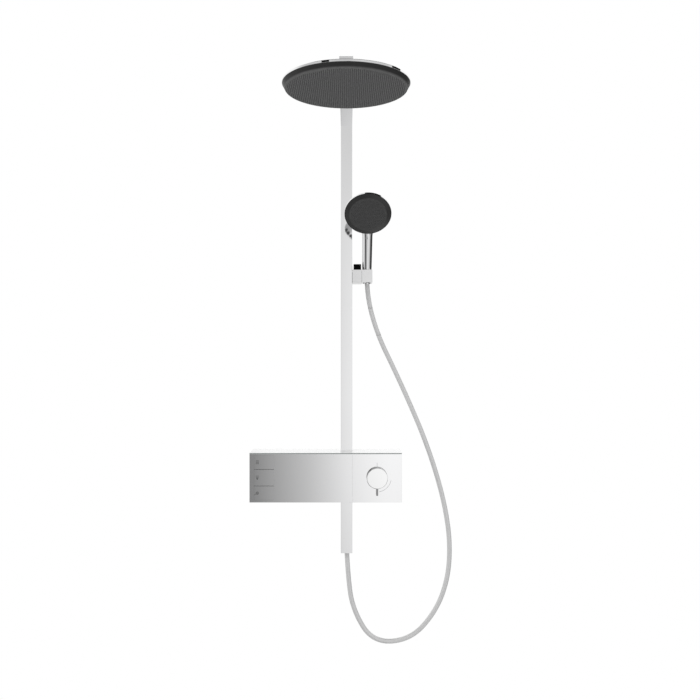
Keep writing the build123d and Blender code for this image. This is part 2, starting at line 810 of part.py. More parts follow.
# Sliding carriage beside the column
screw_radius = 2
screw_hole = screw_radius + running
screw_rows = (-9, 9)
release_left = carriage_left + release_side_wall + slip
release_right = carriage_right - release_wall - slip
release_back = 36
release_front = holder_front - 4
pocket_floor = holder_high - 6.2
release_low = pocket_floor + release_travel + slip
web_left = carriage_left + 4.5
trunnion_left = web_left + 5.4
trunnion_bore = trunnion_radius + running
trunnion_stop = trunnion_left - slip
shoe_screw_end = carriage_left + 9.5
with BuildPart() as slider_carriage:
    box_at(carriage_left, carriage_right, holder_back, holder_front, holder_low, holder_high)
    fillet(slider_carriage.faces().sort_by(Axis.Y)[0].edges(), holder_edge)
    box_at(
        release_left - slip,
        release_right + slip,
        release_back - slip,
        release_front + slip,
        pocket_floor,
        holder_high + 1,
        Mode.SUBTRACT,
    )
    rod_x(pivot_depth, pivot_height, trunnion_bore, trunnion_stop, carriage_right + 1, Mode.SUBTRACT)
    rod_x(pivot_depth, pivot_height, screw_radius + 0.8, web_left - 1, trunnion_left + 1, Mode.SUBTRACT)
    rod_x(pivot_depth, pivot_height, screw_radius + 3.4, carriage_left - 1, web_left, Mode.SUBTRACT)
    for row in screw_rows:
        screw_z = pivot_height + row
        rod_x(column_middle, screw_z, screw_hole, carriage_left - 1, shoe_screw_end + 0.5, Mode.SUBTRACT)
slider_carriage.part.label = "slider_carriage"
export_step(slider_carriage.part, "parts/slider_carriage.step")

shoe_left = inner_half - groove_depth + reveal
with BuildPart() as slider_shoe:
    box_at(
        shoe_left,
        inner_half - reveal,
        column_middle - groove_width / 2 + reveal,
        column_middle + groove_width / 2 - reveal,
        pivot_height - shoe_half,
        pivot_height + shoe_half,
    )
    box_at(
        inner_half - reveal,
        carriage_left,
        column_middle - slot_width / 2 + slip,
        column_middle + slot_width / 2 - slip,
        pivot_height - shoe_half,
        pivot_height + shoe_half,
    )
    for row in screw_rows:
        screw_z = pivot_height + row
        rod_x(column_middle, screw_z, screw_hole, shoe_left - 1, carriage_left + 1, Mode.SUBTRACT)
slider_shoe.part.label = "slider_shoe"
export_step(slider_shoe.part, "parts/slider_shoe.step")

with BuildPart() as shoe_screws:
    for row in screw_rows:
        rod_x(column_middle, pivot_height + row, screw_radius, shoe_left + 0.2, shoe_screw_end)
shoe_screws.part.label = "shoe_screws"
export_step(shoe_screws.part, "parts/shoe_screws.step")

with BuildPart() as release_button:
    box_at(
        release_left,
        release_right,
        release_back,
        release_front,
        release_low,
        holder_high + release_rise,
    )
    fillet(release_button.edges().filter_by(Axis.Z), 2)
    fillet(release_button.faces().sort_by(Axis.Z)[-1].edges(), 1.2)
release_button.part.label = "release_button"
export_step(release_button.part, "parts/release_button.step")

# Planes for the hand shower: along its handle from the pivot, and on its spray face
tilt = math.radians(handle_tilt)
face_angle = math.radians(face_tilt)
handle_direction = (0, -math.sin(tilt), math.cos(tilt))
face_normal = (0, -math.cos(face_angle), -math.sin(face_angle))
pivot = (handset_x, -pivot_depth, pivot_height)
handle_plane = Plane(origin=pivot, x_dir=(1, 0, 0), z_dir=handle_direction)
face_centre = handle_plane.from_local_coords(Vector(0, -face_offset, face_reach))
face_plane = Plane(origin=face_centre, x_dir=(1, 0, 0), z_dir=face_normal)
face_section = Plane(origin=face_plane.origin, x_dir=(1, 0, 0), z_dir=-face_plane.y_dir)
face_axis = Axis(face_plane.origin, face_plane.z_dir)
cone_slope = (cone_high_radius - cone_low_radius) / (cone_end - cone_start)

# Holder socket: a block on a trunnion, with a tapered bore and a slit to take the hose out sideways
bore_reach = 32
bore_clearance = 0.2
slit_half = hose_radius + 0.65
socket_left = handset_x - holder_half_width
socket_right = handset_x + holder_half_width
with BuildPart() as holder_socket:
    box_at(socket_left, socket_right, socket_back, holder_front, holder_low, holder_high)
    fillet(holder_socket.edges().filter_by(Axis.Z).sort_by(Axis.X)[-2:], holder_corner)
    fillet(holder_socket.edges().filter_by(Axis.Z).sort_by(Axis.X)[:2], holder_edge)
    rod_x(pivot_depth, pivot_height, trunnion_radius, trunnion_left, socket_left)
    rod_x(pivot_depth, pivot_height, screw_hole, trunnion_left - 1, socket_left - 1, Mode.SUBTRACT)
    with Locations(handle_plane):
        Cone(
            cone_low_radius + (-bore_reach - cone_start) * cone_slope + bore_clearance,
            cone_low_radius + (bore_reach - cone_start) * cone_slope + bore_clearance,
            2 * bore_reach,
            mode=Mode.SUBTRACT,
        )
        with Locations((holder_half_width, 0, 0)):
            Box(2 * holder_half_width, 2 * slit_half, 2 * bore_reach, mode=Mode.SUBTRACT)
holder_socket.part.label = "holder_socket"
export_step(holder_socket.part, "parts/holder_socket.step")

with BuildPart() as tilt_screw:
    rod_x(pivot_depth, pivot_height, screw_radius, web_left - 0.2, socket_left - 2)
    rod_x(pivot_depth, pivot_height, screw_radius + 3, web_left - 3, web_left - 0.2)
tilt_screw.part.label = "tilt_screw"
export_step(tilt_screw.part, "parts/tilt_screw.step")

# Hand shower body: a tapered round handle, and a neck that widens and flattens into the back of a
# round head. Each neck station has its place along the handle, half width, half depth and shift.
handle_bore = 10.2
neck_length = 74
handle_bore_end = face_reach - neck_length
handle_middle = (handle_start + handle_bore_end) / 2
neck_stations = [
    (handle_bore_end, handle_radius_high, handle_radius_high, 0),
    (face_reach - 60, 14.8, 12.8, 29.8 - face_offset),
    (face_reach - 44, 20, 12.2, 27 - face_offset),
    (face_reach - 24, 29, 10.4, 20 - face_offset),
    (face_reach, 34, 7.4, 12 - face_offset),
    (face_reach + 20, 27, 4.2, 6 - face_offset),
]
rim_height = 5
head_back = 19
seat_depth = 4
face_disc_radius = handset_radius - 1.7
chamber_radius = 42
chamber_depth = 9
with BuildPart() as handset_body:
    with Locations(handle_plane.offset(handle_middle)):
        Cone(handle_radius_low, handle_radius_high, handle_bore_end - handle_start)
    for station, half_wide, half_deep, shift in neck_stations:
        with BuildSketch(handle_plane.offset(station)):
            with Locations((0, shift)):
                Ellipse(half_wide, half_deep)
    loft()
    with BuildSketch(face_section):
        with BuildLine():
            Polyline((0, -head_back), (0, 0), (handset_radius, 0), (handset_radius, -rim_height))
            ThreePointArc(
                (handset_radius, -rim_height), (handset_radius * 0.72, -head_back * 0.73), (0, -head_back)
            )
        make_face()
    revolve(axis=face_axis)
    with Locations(face_plane.offset(-seat_depth / 2)):
        Cylinder(face_disc_radius + 0.2, seat_depth, mode=Mode.SUBTRACT)
    with Locations(face_plane.offset(-chamber_depth / 2)):
        Cylinder(chamber_radius, chamber_depth, mode=Mode.SUBTRACT)
    with Locations(handle_plane.offset(handle_middle)):
        Cylinder(handle_bore, handle_bore_end - handle_start, mode=Mode.SUBTRACT)
    channel_start = handle_plane.from_local_coords(Vector(0, 0, handle_bore_end - 8))
    channel_end = face_plane.from_local_coords(Vector(0, 0, -chamber_depth + 2))
    channel = channel_end - channel_start
    with BuildSketch(Plane(origin=channel_start, z_dir=channel)):
        Circle(6)
    extrude(amount=channel.length, mode=Mode.SUBTRACT)
handset_body.part.label = "handset_body"
export_step(handset_body.part, "parts/handset_body.step")

face_rise = 3.6
face_bevel = 10.5
with BuildPart() as handset_face:
    with BuildSketch(face_section):
        with BuildLine():
            Polyline(
                (0, face_rise),
                (face_disc_radius - face_bevel, face_rise),
                (face_disc_radius, 0),
                (face_disc_radius, -seat_depth),
                (chamber_radius - 1, -seat_depth),
                (chamber_radius - 1, -1),
                (0, -1),
                (0, face_rise),
            )
        make_face()
    revolve(axis=face_axis)
handset_face.part.label = "handset_face"
export_step(handset_face.part, "parts/handset_face.step")

with BuildPart() as handset_mat:
    with Locations(face_plane.offset(-2)):
        Cylinder(chamber_radius - 1.5, 1.5)
handset_mat.part.label = "handset_mat"
export_step(handset_mat.part, "parts/handset_mat.step")

nipple_low = 12
with BuildPart() as handset_insert:
    with Locations(handle_plane.offset((nipple_low + handle_start) / 2)):
        Cylinder(hose_thread_radius, handle_start - nipple_low)
    with Locations(handle_plane.offset((handle_start + handle_bore_end - 10) / 2)):
        Cylinder(handle_bore - slip, handle_bore_end - 10 - handle_start)
    with Locations(handle_plane.offset((nipple_low + handle_bore_end) / 2)):
        Cylinder(6, handle_bore_end - nipple_low + 2, mode=Mode.SUBTRACT)
handset_insert.part.label = "handset_insert"
export_step(handset_insert.part, "parts/handset_insert.step")

# The hose's tapered nut seats in the holder and screws onto the hand shower
washer_low = nipple_low - 2
with BuildPart() as hose_nut:
    with Locations(handle_plane.offset((cone_start + cone_end) / 2)):
        Cone(cone_low_radius, cone_high_radius, cone_end - cone_start)
    with Locations(handle_plane.offset((cone_start + cone_end) / 2)):
        Cylinder(hose_radius + slip, cone_end - cone_start + 2, mode=Mode.SUBTRACT)
    with Locations(handle_plane.offset((washer_low + cone_end + 1) / 2)):
        Cylinder(hose_thread_radius + running, cone_end + 1 - washer_low, mode=Mode.SUBTRACT)
hose_nut.part.label = "hose_nut"
export_step(hose_nut.part, "parts/hose_nut.step")

with BuildPart() as hose_washer:
    with Locations(handle_plane.offset((washer_low + nipple_low) / 2)):
        Cylinder(hose_thread_radius - slip, nipple_low - washer_low)
        Cylinder(hose_bore, nipple_low - washer_low + 1, mode=Mode.SUBTRACT)
hose_washer.part.label = "hose_washer"
export_step(hose_washer.part, "parts/hose_washer.step")

# Hose: its points are chosen by hand, and the first two follow the handle's axis
hose_top = handle_plane.from_local_coords(Vector(0, 0, washer_low))
hose_leave = handle_plane.from_local_coords(Vector(0, 0, washer_low - hose_straight))
hose_points = [
    tuple(hose_top),
    tuple(hose_leave),
    (86, -21, 378),
    (130, -20, 281),
    (170, -21, 193),
    (208, -23, 103),
    (240, -25, 11),
    (265, -27, -83),
    (279, -29, -179),
    (274, -30, -278),
    (241, -31, -368),
    (172, -31, -445),
    (70, -31, -452),
    (15, -31, -360),
    (0, -31, -262),
    (0, -column_middle, hose_end_height),
]
hose_radii = []
for before, here, after in zip(hose_points, hose_points[1:], hose_points[2:]):
    run_in = Vector(here) - Vector(before)
    run_out = Vector(after) - Vector(here)
    half_turn = math.radians(run_in.get_angle(run_out)) / 2
    hose_radii.append(0.45 * min(run_in.length, run_out.length) / math.tan(half_turn))
print("hose radii", [round(radius) for radius in hose_radii])

with BuildPart() as shower_hose:
    with BuildLine() as hose_line:
        FilletPolyline(*hose_points, radius=hose_radii)
    with BuildSketch(Plane(origin=hose_points[0], z_dir=hose_line.line % 0)):
        Circle(hose_radius)
        Circle(hose_bore, mode=Mode.SUBTRACT)
    sweep()
shower_hose.part.label = "shower_hose"
export_step(shower_hose.part, "parts/shower_hose.step")

hose_length = hose_line.wire().length
hose_section = math.pi * (hose_radius**2 - hose_bore**2)
volume_ratio = shower_hose.part.volume / (hose_length * hose_section)
print("hose length", round(hose_length, 1), "volume ratio", round(volume_ratio, 4))
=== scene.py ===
# %% [markdown]
# # A rainfall shower column in chrome
#
# The object hangs on a wall: a control panel, a square column with an arm, a round overhead shower,
# and a hand shower on a hose. Its rigid pieces arrive finished in shape from the solid model, and
# each one already moves with its own body. This lesson adds what a solid model doesn't have: the
# camera, the light that polished metal mirrors, the finishes, the flexible hose and the small
# repeated details.

import math

import bpy
from mathutils import Matrix, Vector


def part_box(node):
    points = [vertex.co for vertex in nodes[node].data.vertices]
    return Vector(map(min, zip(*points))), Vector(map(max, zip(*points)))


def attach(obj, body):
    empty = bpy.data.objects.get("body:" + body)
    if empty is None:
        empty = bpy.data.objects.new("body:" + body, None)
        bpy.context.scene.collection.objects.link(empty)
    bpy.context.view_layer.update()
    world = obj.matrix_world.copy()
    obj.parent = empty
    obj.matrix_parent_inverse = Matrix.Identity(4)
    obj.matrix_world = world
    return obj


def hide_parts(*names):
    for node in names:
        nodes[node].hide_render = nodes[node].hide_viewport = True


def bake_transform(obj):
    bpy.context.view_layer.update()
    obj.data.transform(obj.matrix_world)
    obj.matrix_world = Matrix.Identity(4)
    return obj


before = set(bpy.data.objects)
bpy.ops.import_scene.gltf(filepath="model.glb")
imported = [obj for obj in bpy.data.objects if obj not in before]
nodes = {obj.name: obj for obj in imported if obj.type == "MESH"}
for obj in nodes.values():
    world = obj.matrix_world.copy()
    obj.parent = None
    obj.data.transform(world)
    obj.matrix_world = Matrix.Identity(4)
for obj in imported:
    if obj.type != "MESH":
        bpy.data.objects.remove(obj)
scene = bpy.context.scene
scene.view_settings.view_transform = "Standard"
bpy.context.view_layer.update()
print("nodes in the frame:", len(nodes))

# %% [markdown]
# ## Camera
#
# The picture is taken straight on and level, from a little over two metres: verticals stay vertical
# and the overhead shower is seen from below. A camera that is tilted up could frame it too, but the
# uprights would lean together. With a level one only the distance, the height and the lens are left
# to choose, and a very small sideways shift of the lens does the rest of the framing.

# %% Camera
picture_width = 700
focal_pixels = 787
vanishing_offset = 2
sensor_width = 36
camera_place = Vector((0.0039, -2.150, 0.3353))

camera_data = bpy.data.cameras.new("camera")
camera_data.sensor_width = sensor_width
camera_data.lens = sensor_width * focal_pixels / picture_width
camera_data.shift_x = vanishing_offset / picture_width
camera = bpy.data.objects.new("camera", camera_data)
camera.location = camera_place
camera.rotation_euler = (math.radians(90), 0, 0)
scene.collection.objects.link(camera)
scene.camera = camera
print("lens, millimetres:", round(camera_data.lens, 2))

# %% [markdown]
# ## Hose
#
# The hose leaves the hand shower's nut, swings out to the right, hangs in a loop below the panel and
# comes back up into the column. A simulation could let it fall into place, but the way that it hangs
# is known, so its control points are listed, in metres.

# %% Hose route
hose_diameter = 0.0125
hose_route = [
    (0.054, -0.063, 0.53866),
    (0.054, -0.031, 0.48324),
    (0.083, -0.021, 0.378),
    (0.130, -0.020, 0.281),
    (0.170, -0.021, 0.193),
    (0.208, -0.023, 0.103),
    (0.240, -0.025, 0.011),
    (0.265, -0.027, -0.083),
    (0.279, -0.029, -0.179),
    (0.274, -0.030, -0.278),
    (0.241, -0.031, -0.368),
    (0.172, -0.031, -0.445),
    (0.070, -0.031, -0.452),
    (0.015, -0.031, -0.360),
    (0.003, -0.031, -0.262),
    (0.000, -0.031, -0.192),
]
print("control points along the hose:", len(hose_route))

# %% [markdown]
# A NURBS spline passes near its control points and rounds every corner between them, which gives the
# relaxed bends of a real hose. Straight runs with rounded corners would look like bent wire. Blender
# can turn any curve into a mesh, and here that reads the smooth line back as a row of points.

# %% Hose line
steps_between_points = 20


def mesh_of(name, curve):
    """The plain mesh that a curve gives."""
    drawn = bpy.data.objects.new(name, curve)
    scene.collection.objects.link(drawn)
    bpy.context.view_layer.update()
    mesh = bpy.data.meshes.new_from_object(drawn.evaluated_get(bpy.context.evaluated_depsgraph_get()))
    bpy.data.objects.remove(drawn)
    return mesh


hose_line = bpy.data.curves.new("hose_line", "CURVE")
hose_line.dimensions = "3D"
hose_line.resolution_u = steps_between_points
spline = hose_line.splines.new("NURBS")
spline.points.add(len(hose_route) - 1)
for point, place in zip(spline.points, hose_route):
    point.co = (*place, 1)
spline.order_u = 3
spline.use_endpoint_u = True
hose_points = [vertex.co.copy() for vertex in mesh_of("hose_line", hose_line).vertices]
hose_reach = [0.0]
for before, here in zip(hose_points, hose_points[1:]):
    hose_reach.append(hose_reach[-1] + (here - before).length)
print("hose length, metres:", round(hose_reach[-1], 3), "from", len(hose_points), "points")

# %% [markdown]
# A tube is a row of rings. Turning each ring square to the line by itself would let the tube twist,
# so each ring's frame is carried over from the ring before. All rings are made once for the whole
# line, and each length of hose then takes its share: two lengths that meet have the very same ring,
# and no seam shows.

# %% Rings along the hose
hose_sides = 28


def rings_along(points, radius, sides):
    """One ring of vertices around each point."""
    rings = []
    side_way = Vector((0, -1, 0))
    for before, point, after in zip(points[:1] + points, points, points[1:] + points[-1:]):
        ahead = (after - before).normalized()
        side_way = (side_way - ahead * side_way.dot(ahead)).normalized()
        other_way = ahead.cross(side_way)
        turns = [2 * math.pi * side / sides for side in range(sides)]
        ways = [math.cos(turn) * side_way + math.sin(turn) * other_way for turn in turns]
        rings.append([point + radius * way for way in ways])
    return rings


hose_rings = rings_along(hose_points, hose_diameter / 2, hose_sides)
print("rings along the hose:", len(hose_rings))

# %% [markdown]
# The skin is a band of four-sided faces between each ring and the next, with a flat face at both
# ends. A curve's round bevel would be quicker, but this way the UV map can run once around in U and
# in metres along in V, which the spiral under the hose's skin needs.

# %% Skin over the rings
def add_piece(name, mesh):
    """A new object at the origin for a mesh."""
    piece = bpy.data.objects.new(name, mesh)
    scene.collection.objects.link(piece)
    return piece


def add_mesh(name, vertices, faces):
    """A new object at the origin from vertices and faces."""
    mesh = bpy.data.meshes.new(name)
    mesh.from_pydata(vertices, [], faces)
    return add_piece(name, mesh)


def skin_tube(name, rings, reaches):
    """A closed tube over rings, with its UV map."""
    sides = len(rings[0])
    faces = []
    corners = []
    for ring in range(len(rings) - 1):
        near = ring * sides
        far = near + sides
        low, high = reaches[ring], reaches[ring + 1]
        for side in range(sides):
            following = (side + 1) % sides
            left, right = side / sides, (side + 1) / sides
            faces.append((near + side, near + following, far + following, far + side))
            corners.extend([(left, low), (right, low), (right, high), (left, high)])
    faces.append(tuple(reversed(range(sides))))
    faces.append(tuple(range((len(rings) - 1) * sides, len(rings) * sides)))
    corners.extend([(0, reaches[0])] * sides + [(0, reaches[-1])] * sides)
    tube = add_mesh(name, [vertex for ring in rings for vertex in ring], faces)
    tube.data.uv_layers.new(name="along")
    for loop, corner in zip(tube.data.uv_layers["along"].data, corners):
        loop.uv = corner
    for face in tube.data.polygons:
        face.use_smooth = len(face.vertices) == 4
    return tube


print("faces around the hose:", hose_sides)

# %% [markdown]
# Three bodies pull at the hose: the hand shower lifts out, the holder tilts and the carriage slides.
# One piece can only bend between two bodies, so the hose is cut into three lengths on the same line,
# one for each of these motions, and the table names each length's two bodies and its fittings. The
# hanging length, between the carriage and the column, is the one that takes up the slide.

# %% Three lengths of hose
hose_lengths = [
    {
        "name": "hose_at_handset",
        "bodies": ("handset", "holder"),
        "until": 0.100,
        "fittings": ["hose_nut", "hose_washer"],
    },
    {
        "name": "hose_at_holder",
        "bodies": ("holder", "carriage"),
        "until": 0.178,
        "fittings": [],
    },
    {
        "name": "hose_hanging",
        "bodies": ("carriage", "column"),
        "until": hose_reach[-1],
        "fittings": ["hose_end_nut", "hose_end_washer"],
    },
]


def point_at(reach):
    """The index of the point that is nearest to a distance along the hose."""
    return min(range(len(hose_reach)), key=lambda index: abs(hose_reach[index] - reach))


hose_pieces = []
first = 0
for length in hose_lengths:
    last = point_at(length["until"])
    reaches = hose_reach[first : last + 1]
    tube = skin_tube(length["name"], hose_rings[first : last + 1], reaches)
    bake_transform(tube)
    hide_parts("shower_hose")
    hose_pieces.append(tube)
    first = last
    print(length["name"], "length", round(reaches[-1] - reaches[0], 3))

# %% [markdown]
# ## Light
#
# Chrome has no colour of its own: it shows the room. The room here is a photo studio, white all
# round, with a dark screen a little to the left of the camera and cards hung around the object. A
# picture of a studio could be wrapped around the scene, but a world shader can work one out, and then
# each card can be moved by hand. A shader is a tree of nodes, so a few short helpers come first.

# %% Node helpers
def node(tree, kind, inputs=None, **settings):
    """Adds a node. Each input is a value to set or another node's socket to link."""
    made = tree.nodes.new(kind)
    for key, value in settings.items():
        setattr(made, key, value)
    for key, value in (inputs or {}).items():
        if isinstance(value, bpy.types.NodeSocket):
            tree.links.new(value, made.inputs[key])
        else:
            made.inputs[key].default_value = value
    return made


def math_of(tree, operation, *values):
    """The output of one Math node."""
    return node(tree, "ShaderNodeMath", dict(enumerate(values)), operation=operation).outputs[0]


def mix_of(tree, factor, first, second):
    """A number between two others."""
    return node(tree, "ShaderNodeMix", {0: factor, 2: first, 3: second}).outputs[0]


def spread_of(tree, value, low, high, to_low, to_high):
    """A value eased from one range into another."""
    ranges = {"From Min": low, "From Max": high, "To Min": to_low, "To Max": to_high}
    inputs = {"Value": value, **ranges}
    return node(tree, "ShaderNodeMapRange", inputs, interpolation_type="SMOOTHSTEP").outputs[0]


def ramp_of(tree, value, stops):
    """A colour ramp with grey stops, each a position and a brightness."""
    made = node(tree, "ShaderNodeValToRGB", {0: value})
    elements = made.color_ramp.elements
    for _ in stops[2:]:
        elements.new(1)
    for element, (position, brightness) in zip(elements, stops):
        element.position = position
        element.color = (brightness, brightness, brightness, 1)
    return made.outputs[0]


print("node helpers are ready")

# %% [markdown]
# ### Walls
#
# Directions are given as an azimuth, in degrees to the right of the camera's side, and an elevation.
# Two brightness rings hold the walls: one below eye level, with the screen's gradient that the panel
# mirrors, and one above. The front wall also darkens a little towards its top and bottom, and has a
# dim strip near 19 degrees for the overhead shower's rim. A colour ramp suits all three: it is a row
# of stops, and each one can be moved without the others.

# %% Studio walls
low_ring = [
    (-180, 0.74),
    (-138, 0.62),
    (-100, 0.80),
    (-60, 0.92),
    (-30, 0.6),
    (-14, 0.14),
    (-7.2, 0.235),
    (-5.7, 0.362),
    (-3.0, 0.56),
    (0, 0.85),
    (2.4, 1.0),
    (20, 0.98),
    (42, 0.78),
    (80, 0.9),
    (150, 0.88),
    (180, 0.74),
]
high_ring = [
    (-180, 0.88),
    (-150, 0.98),
    (-40, 0.95),
    (-14, 0.82),
    (0, 0.79),
    (14, 0.9),
    (40, 1.0),
    (150, 1.0),
    (180, 0.88),
]
front_wall = [
    (-90, 0.86),
    (-40, 0.86),
    (-26, 0.7),
    (-19, 0.67),
    (-14.4, 0.9),
    (-8, 0.98),
    (-3, 1.0),
    (8, 0.94),
    (15, 0.845),
    (17.1, 0.825),
    (17.7, 0.55),
    (19.9, 0.45),
    (20.04, 0.46),
    (20.13, 0.79),
    (90, 0.79),
]


def ring_stops(ring):
    """Ramp stops from azimuths in degrees."""
    return [((degrees + 180) / 360, brightness) for degrees, brightness in ring]


def rise_stops(wall):
    """Ramp stops from elevations in degrees."""
    return [((degrees + 90) / 180, brightness) for degrees, brightness in wall]


print("stops on the walls:", len(low_ring), len(high_ring), len(front_wall))

# %% [markdown]
# ### Cards
#
# The edges of bright metal only show when they mirror something dark, so photographers hang black
# cards beside it. A card here is a round patch of the studio with a soft edge, which multiplies the
# brightness behind it. One card is brighter than the walls: it hangs behind the object, where the
# shelf's top mirrors it as white. The dot product of two directions is the cosine of the angle
# between them, so it tells how near a mirror ray comes to the middle of a card.

# %% Studio cards
low_cards = [
    # the two dark lines of the round handle: one at its left, four for the softer one at its right
    {"azimuth": -60, "elevation": -42, "radius": 12, "edge": 6, "brightness": 0.03},
    {"azimuth": 88, "elevation": -30, "radius": 12, "edge": 9, "brightness": 0.35},
    {"azimuth": 106, "elevation": -20, "radius": 13, "edge": 9, "brightness": 0.08},
    {"azimuth": 126, "elevation": -9, "radius": 14, "edge": 11, "brightness": 0.05},
    {"azimuth": 145, "elevation": 1, "radius": 14, "edge": 11, "brightness": 0.2},
    # shade from below on round pieces
    {"azimuth": -127, "elevation": -47, "radius": 20, "edge": 8, "brightness": 0.10},
    {"azimuth": 0, "elevation": -35, "radius": 9, "edge": 5, "brightness": 0.1},
    {"azimuth": 78, "elevation": -56, "radius": 12, "edge": 6, "brightness": 0.1},
    # the rim of the hand shower
    {"azimuth": 6, "elevation": -73, "radius": 12, "edge": 4, "brightness": 0.04},
    # the rim of the overhead shower
    {"azimuth": 180, "elevation": -26, "radius": 14, "edge": 3, "brightness": 0.58},
    # the white top of the shelf
    {"azimuth": 178.5, "elevation": 7, "radius": 9, "edge": 3, "brightness": 1.5},
]
high_cards = [
    # the rim of the hand shower: one at its top, four at its lower left
    {"azimuth": 144.5, "elevation": 66, "radius": 21, "edge": 1.5, "brightness": 0.01},
    {"azimuth": -70, "elevation": 60, "radius": 26, "edge": 14, "brightness": 0.45},
    {"azimuth": -123, "elevation": 39, "radius": 7, "edge": 3, "brightness": 0.08},
    {"azimuth": -101, "elevation": 44, "radius": 7, "edge": 3, "brightness": 0.1},
    {"azimuth": -78, "elevation": 46, "radius": 7, "edge": 3, "brightness": 0.15},
    # the rim of the overhead shower
    {"azimuth": 168, "elevation": 50, "radius": 20, "edge": 1.5, "brightness": 0.01},
    {"azimuth": -36.5, "elevation": 20, "radius": 6.5, "edge": 0.8, "brightness": 0.01},
    {"azimuth": 99.5, "elevation": 20, "radius": 11, "edge": 0.8, "brightness": 0.01},
]


def toward(azimuth, elevation):
    """A direction from its azimuth and elevation in degrees."""
    turn = math.radians(azimuth)
    rise = math.radians(elevation)
    flat = math.cos(rise)
    return Vector((math.sin(turn) * flat, -math.cos(turn) * flat, math.sin(rise)))


def with_cards(tree, way, brightness, cards):
    """Walls with cards in front of them, each darker or brighter than the wall."""
    for card in cards:
        inputs = {0: way, 1: toward(card["azimuth"], card["elevation"])}
        nearness = node(tree, "ShaderNodeVectorMath", inputs, operation="DOT_PRODUCT").outputs["Value"]
        outer = math.cos(math.radians(card["radius"] + card["edge"]))
        inner = math.cos(math.radians(card["radius"] - card["edge"]))
        shade = spread_of(tree, nearness, outer, inner, 1.0, card["brightness"])
        brightness = math_of(tree, "MULTIPLY", brightness, shade)
    return brightness


print("cards in the studio:", len(low_cards) + len(high_cards))

# %% [markdown]
# Now the walls and cards are put together. A ray's direction gives its azimuth, by the arc tangent of
# two sides, and its elevation, by the arc sine of its height. The lower walls pass softly into the
# upper ones just above eye level, and the front wall's shading fades out towards the sides.

# %% Studio brightness
high_walls_from = math.radians(2)
high_walls_to = math.radians(15)
front_wall_fade = 0.3


def studio_brightness(tree):
    """The studio's brightness in every direction."""
    way = node(tree, "ShaderNodeTexCoord").outputs["Generated"]
    parts = node(tree, "ShaderNodeSeparateXYZ", {0: way}).outputs
    ahead = math_of(tree, "MULTIPLY", parts[1], -1.0)
    turn = math_of(tree, "ARCTAN2", parts[0], ahead)
    around = math_of(tree, "MULTIPLY_ADD", turn, 1 / (2 * math.pi), 0.5)
    rise = math_of(tree, "ARCSINE", parts[2])
    upward = math_of(tree, "MULTIPLY_ADD", rise, 1 / math.pi, 0.5)
    lower = with_cards(tree, way, ramp_of(tree, around, ring_stops(low_ring)), low_cards)
    upper = with_cards(tree, way, ramp_of(tree, around, ring_stops(high_ring)), high_cards)
    height = spread_of(tree, rise, high_walls_from, high_walls_to, 0.0, 1.0)
    walls = mix_of(tree, height, lower, upper)
    in_front = spread_of(tree, ahead, -front_wall_fade, front_wall_fade, 0.0, 1.0)
    shade = mix_of(tree, in_front, 1.0, ramp_of(tree, upward, rise_stops(front_wall)))
    return math_of(tree, "MULTIPLY", walls, shade)


world = bpy.data.worlds.new("studio")
scene.world = world
world.use_nodes = True
world.node_tree.nodes.clear()
mirrored_strength = studio_brightness(world.node_tree)
print("nodes in the studio:", len(world.node_tree.nodes))

# %% [markdown]
# One world serves three kinds of rays, which Light Path tells apart. Rays from the camera find plain
# white, also through glass. Mirror rays find the studio. All other rays find soft, even light: if
# they found the studio too, its dark screen would shade the matt pieces.

# %% World
soft_light = 0.70
white = (1, 1, 1, 1)


def background(tree, strength):
    """A white background of a given strength."""
    return node(tree, "ShaderNodeBackground", {"Color": white, "Strength": strength}).outputs[0]


def mix_shader(tree, factor, first, second):
    """A shader between two others."""
    return node(tree, "ShaderNodeMixShader", {0: factor, 1: first, 2: second}).outputs[0]


def seen_by_camera(tree):
    """One for the camera's own rays, straight or through glass, and zero for all others."""
    rays = node(tree, "ShaderNodeLightPath").outputs
    return math_of(tree, "MAXIMUM", rays["Is Camera Ray"], rays["Is Transmission Ray"])


tree = world.node_tree
mirrored = node(tree, "ShaderNodeLightPath").outputs["Is Glossy Ray"]
lit_room = mix_shader(tree, mirrored, background(tree, soft_light), background(tree, mirrored_strength))
room = mix_shader(tree, seen_by_camera(tree), lit_room, background(tree, 1.0))
node(tree, "ShaderNodeOutputWorld", {"Surface": room})
print("soft light around the object:", soft_light)

# %% [markdown]
# ### Lamp
#
# One wide lamp from the upper left gives the matt faces a soft direction. A sun lamp would throw hard
# shadows, while an area lamp larger than the object keeps them soft. Mirrors don't see it, because
# the studio already holds all that they should show.

# %% Soft lamp
lamp_side = 2.4
lamp_watts = 26
lamp_place = Vector((-1.4, -2.6, 2.2))
lamp_target = Vector((0, 0, 0.3))

lamp_data = bpy.data.lights.new("soft_box", "AREA")
lamp_data.shape = "SQUARE"
lamp_data.size = lamp_side
lamp_data.energy = lamp_watts
lamp = bpy.data.objects.new("soft_box", lamp_data)
lamp.location = lamp_place
lamp.rotation_euler = (lamp_target - lamp_place).to_track_quat("-Z", "Y").to_euler()
lamp.visible_glossy = False
scene.collection.objects.link(lamp)
print("lamp, watts:", lamp_watts)

# %% [markdown]
# ### Floor
#
# The object hangs on a wall, so its floor lies well below the hose. A paper sweep in a studio is matt
# and overlit until it is plain white. Here the floor is matt for all rays but the camera's, which
# find white, and so no light has to be turned up for it.

# %% Floor
floor_height = -1.15
floor_half = 6
floor_grey = (0.8, 0.8, 0.8, 1)

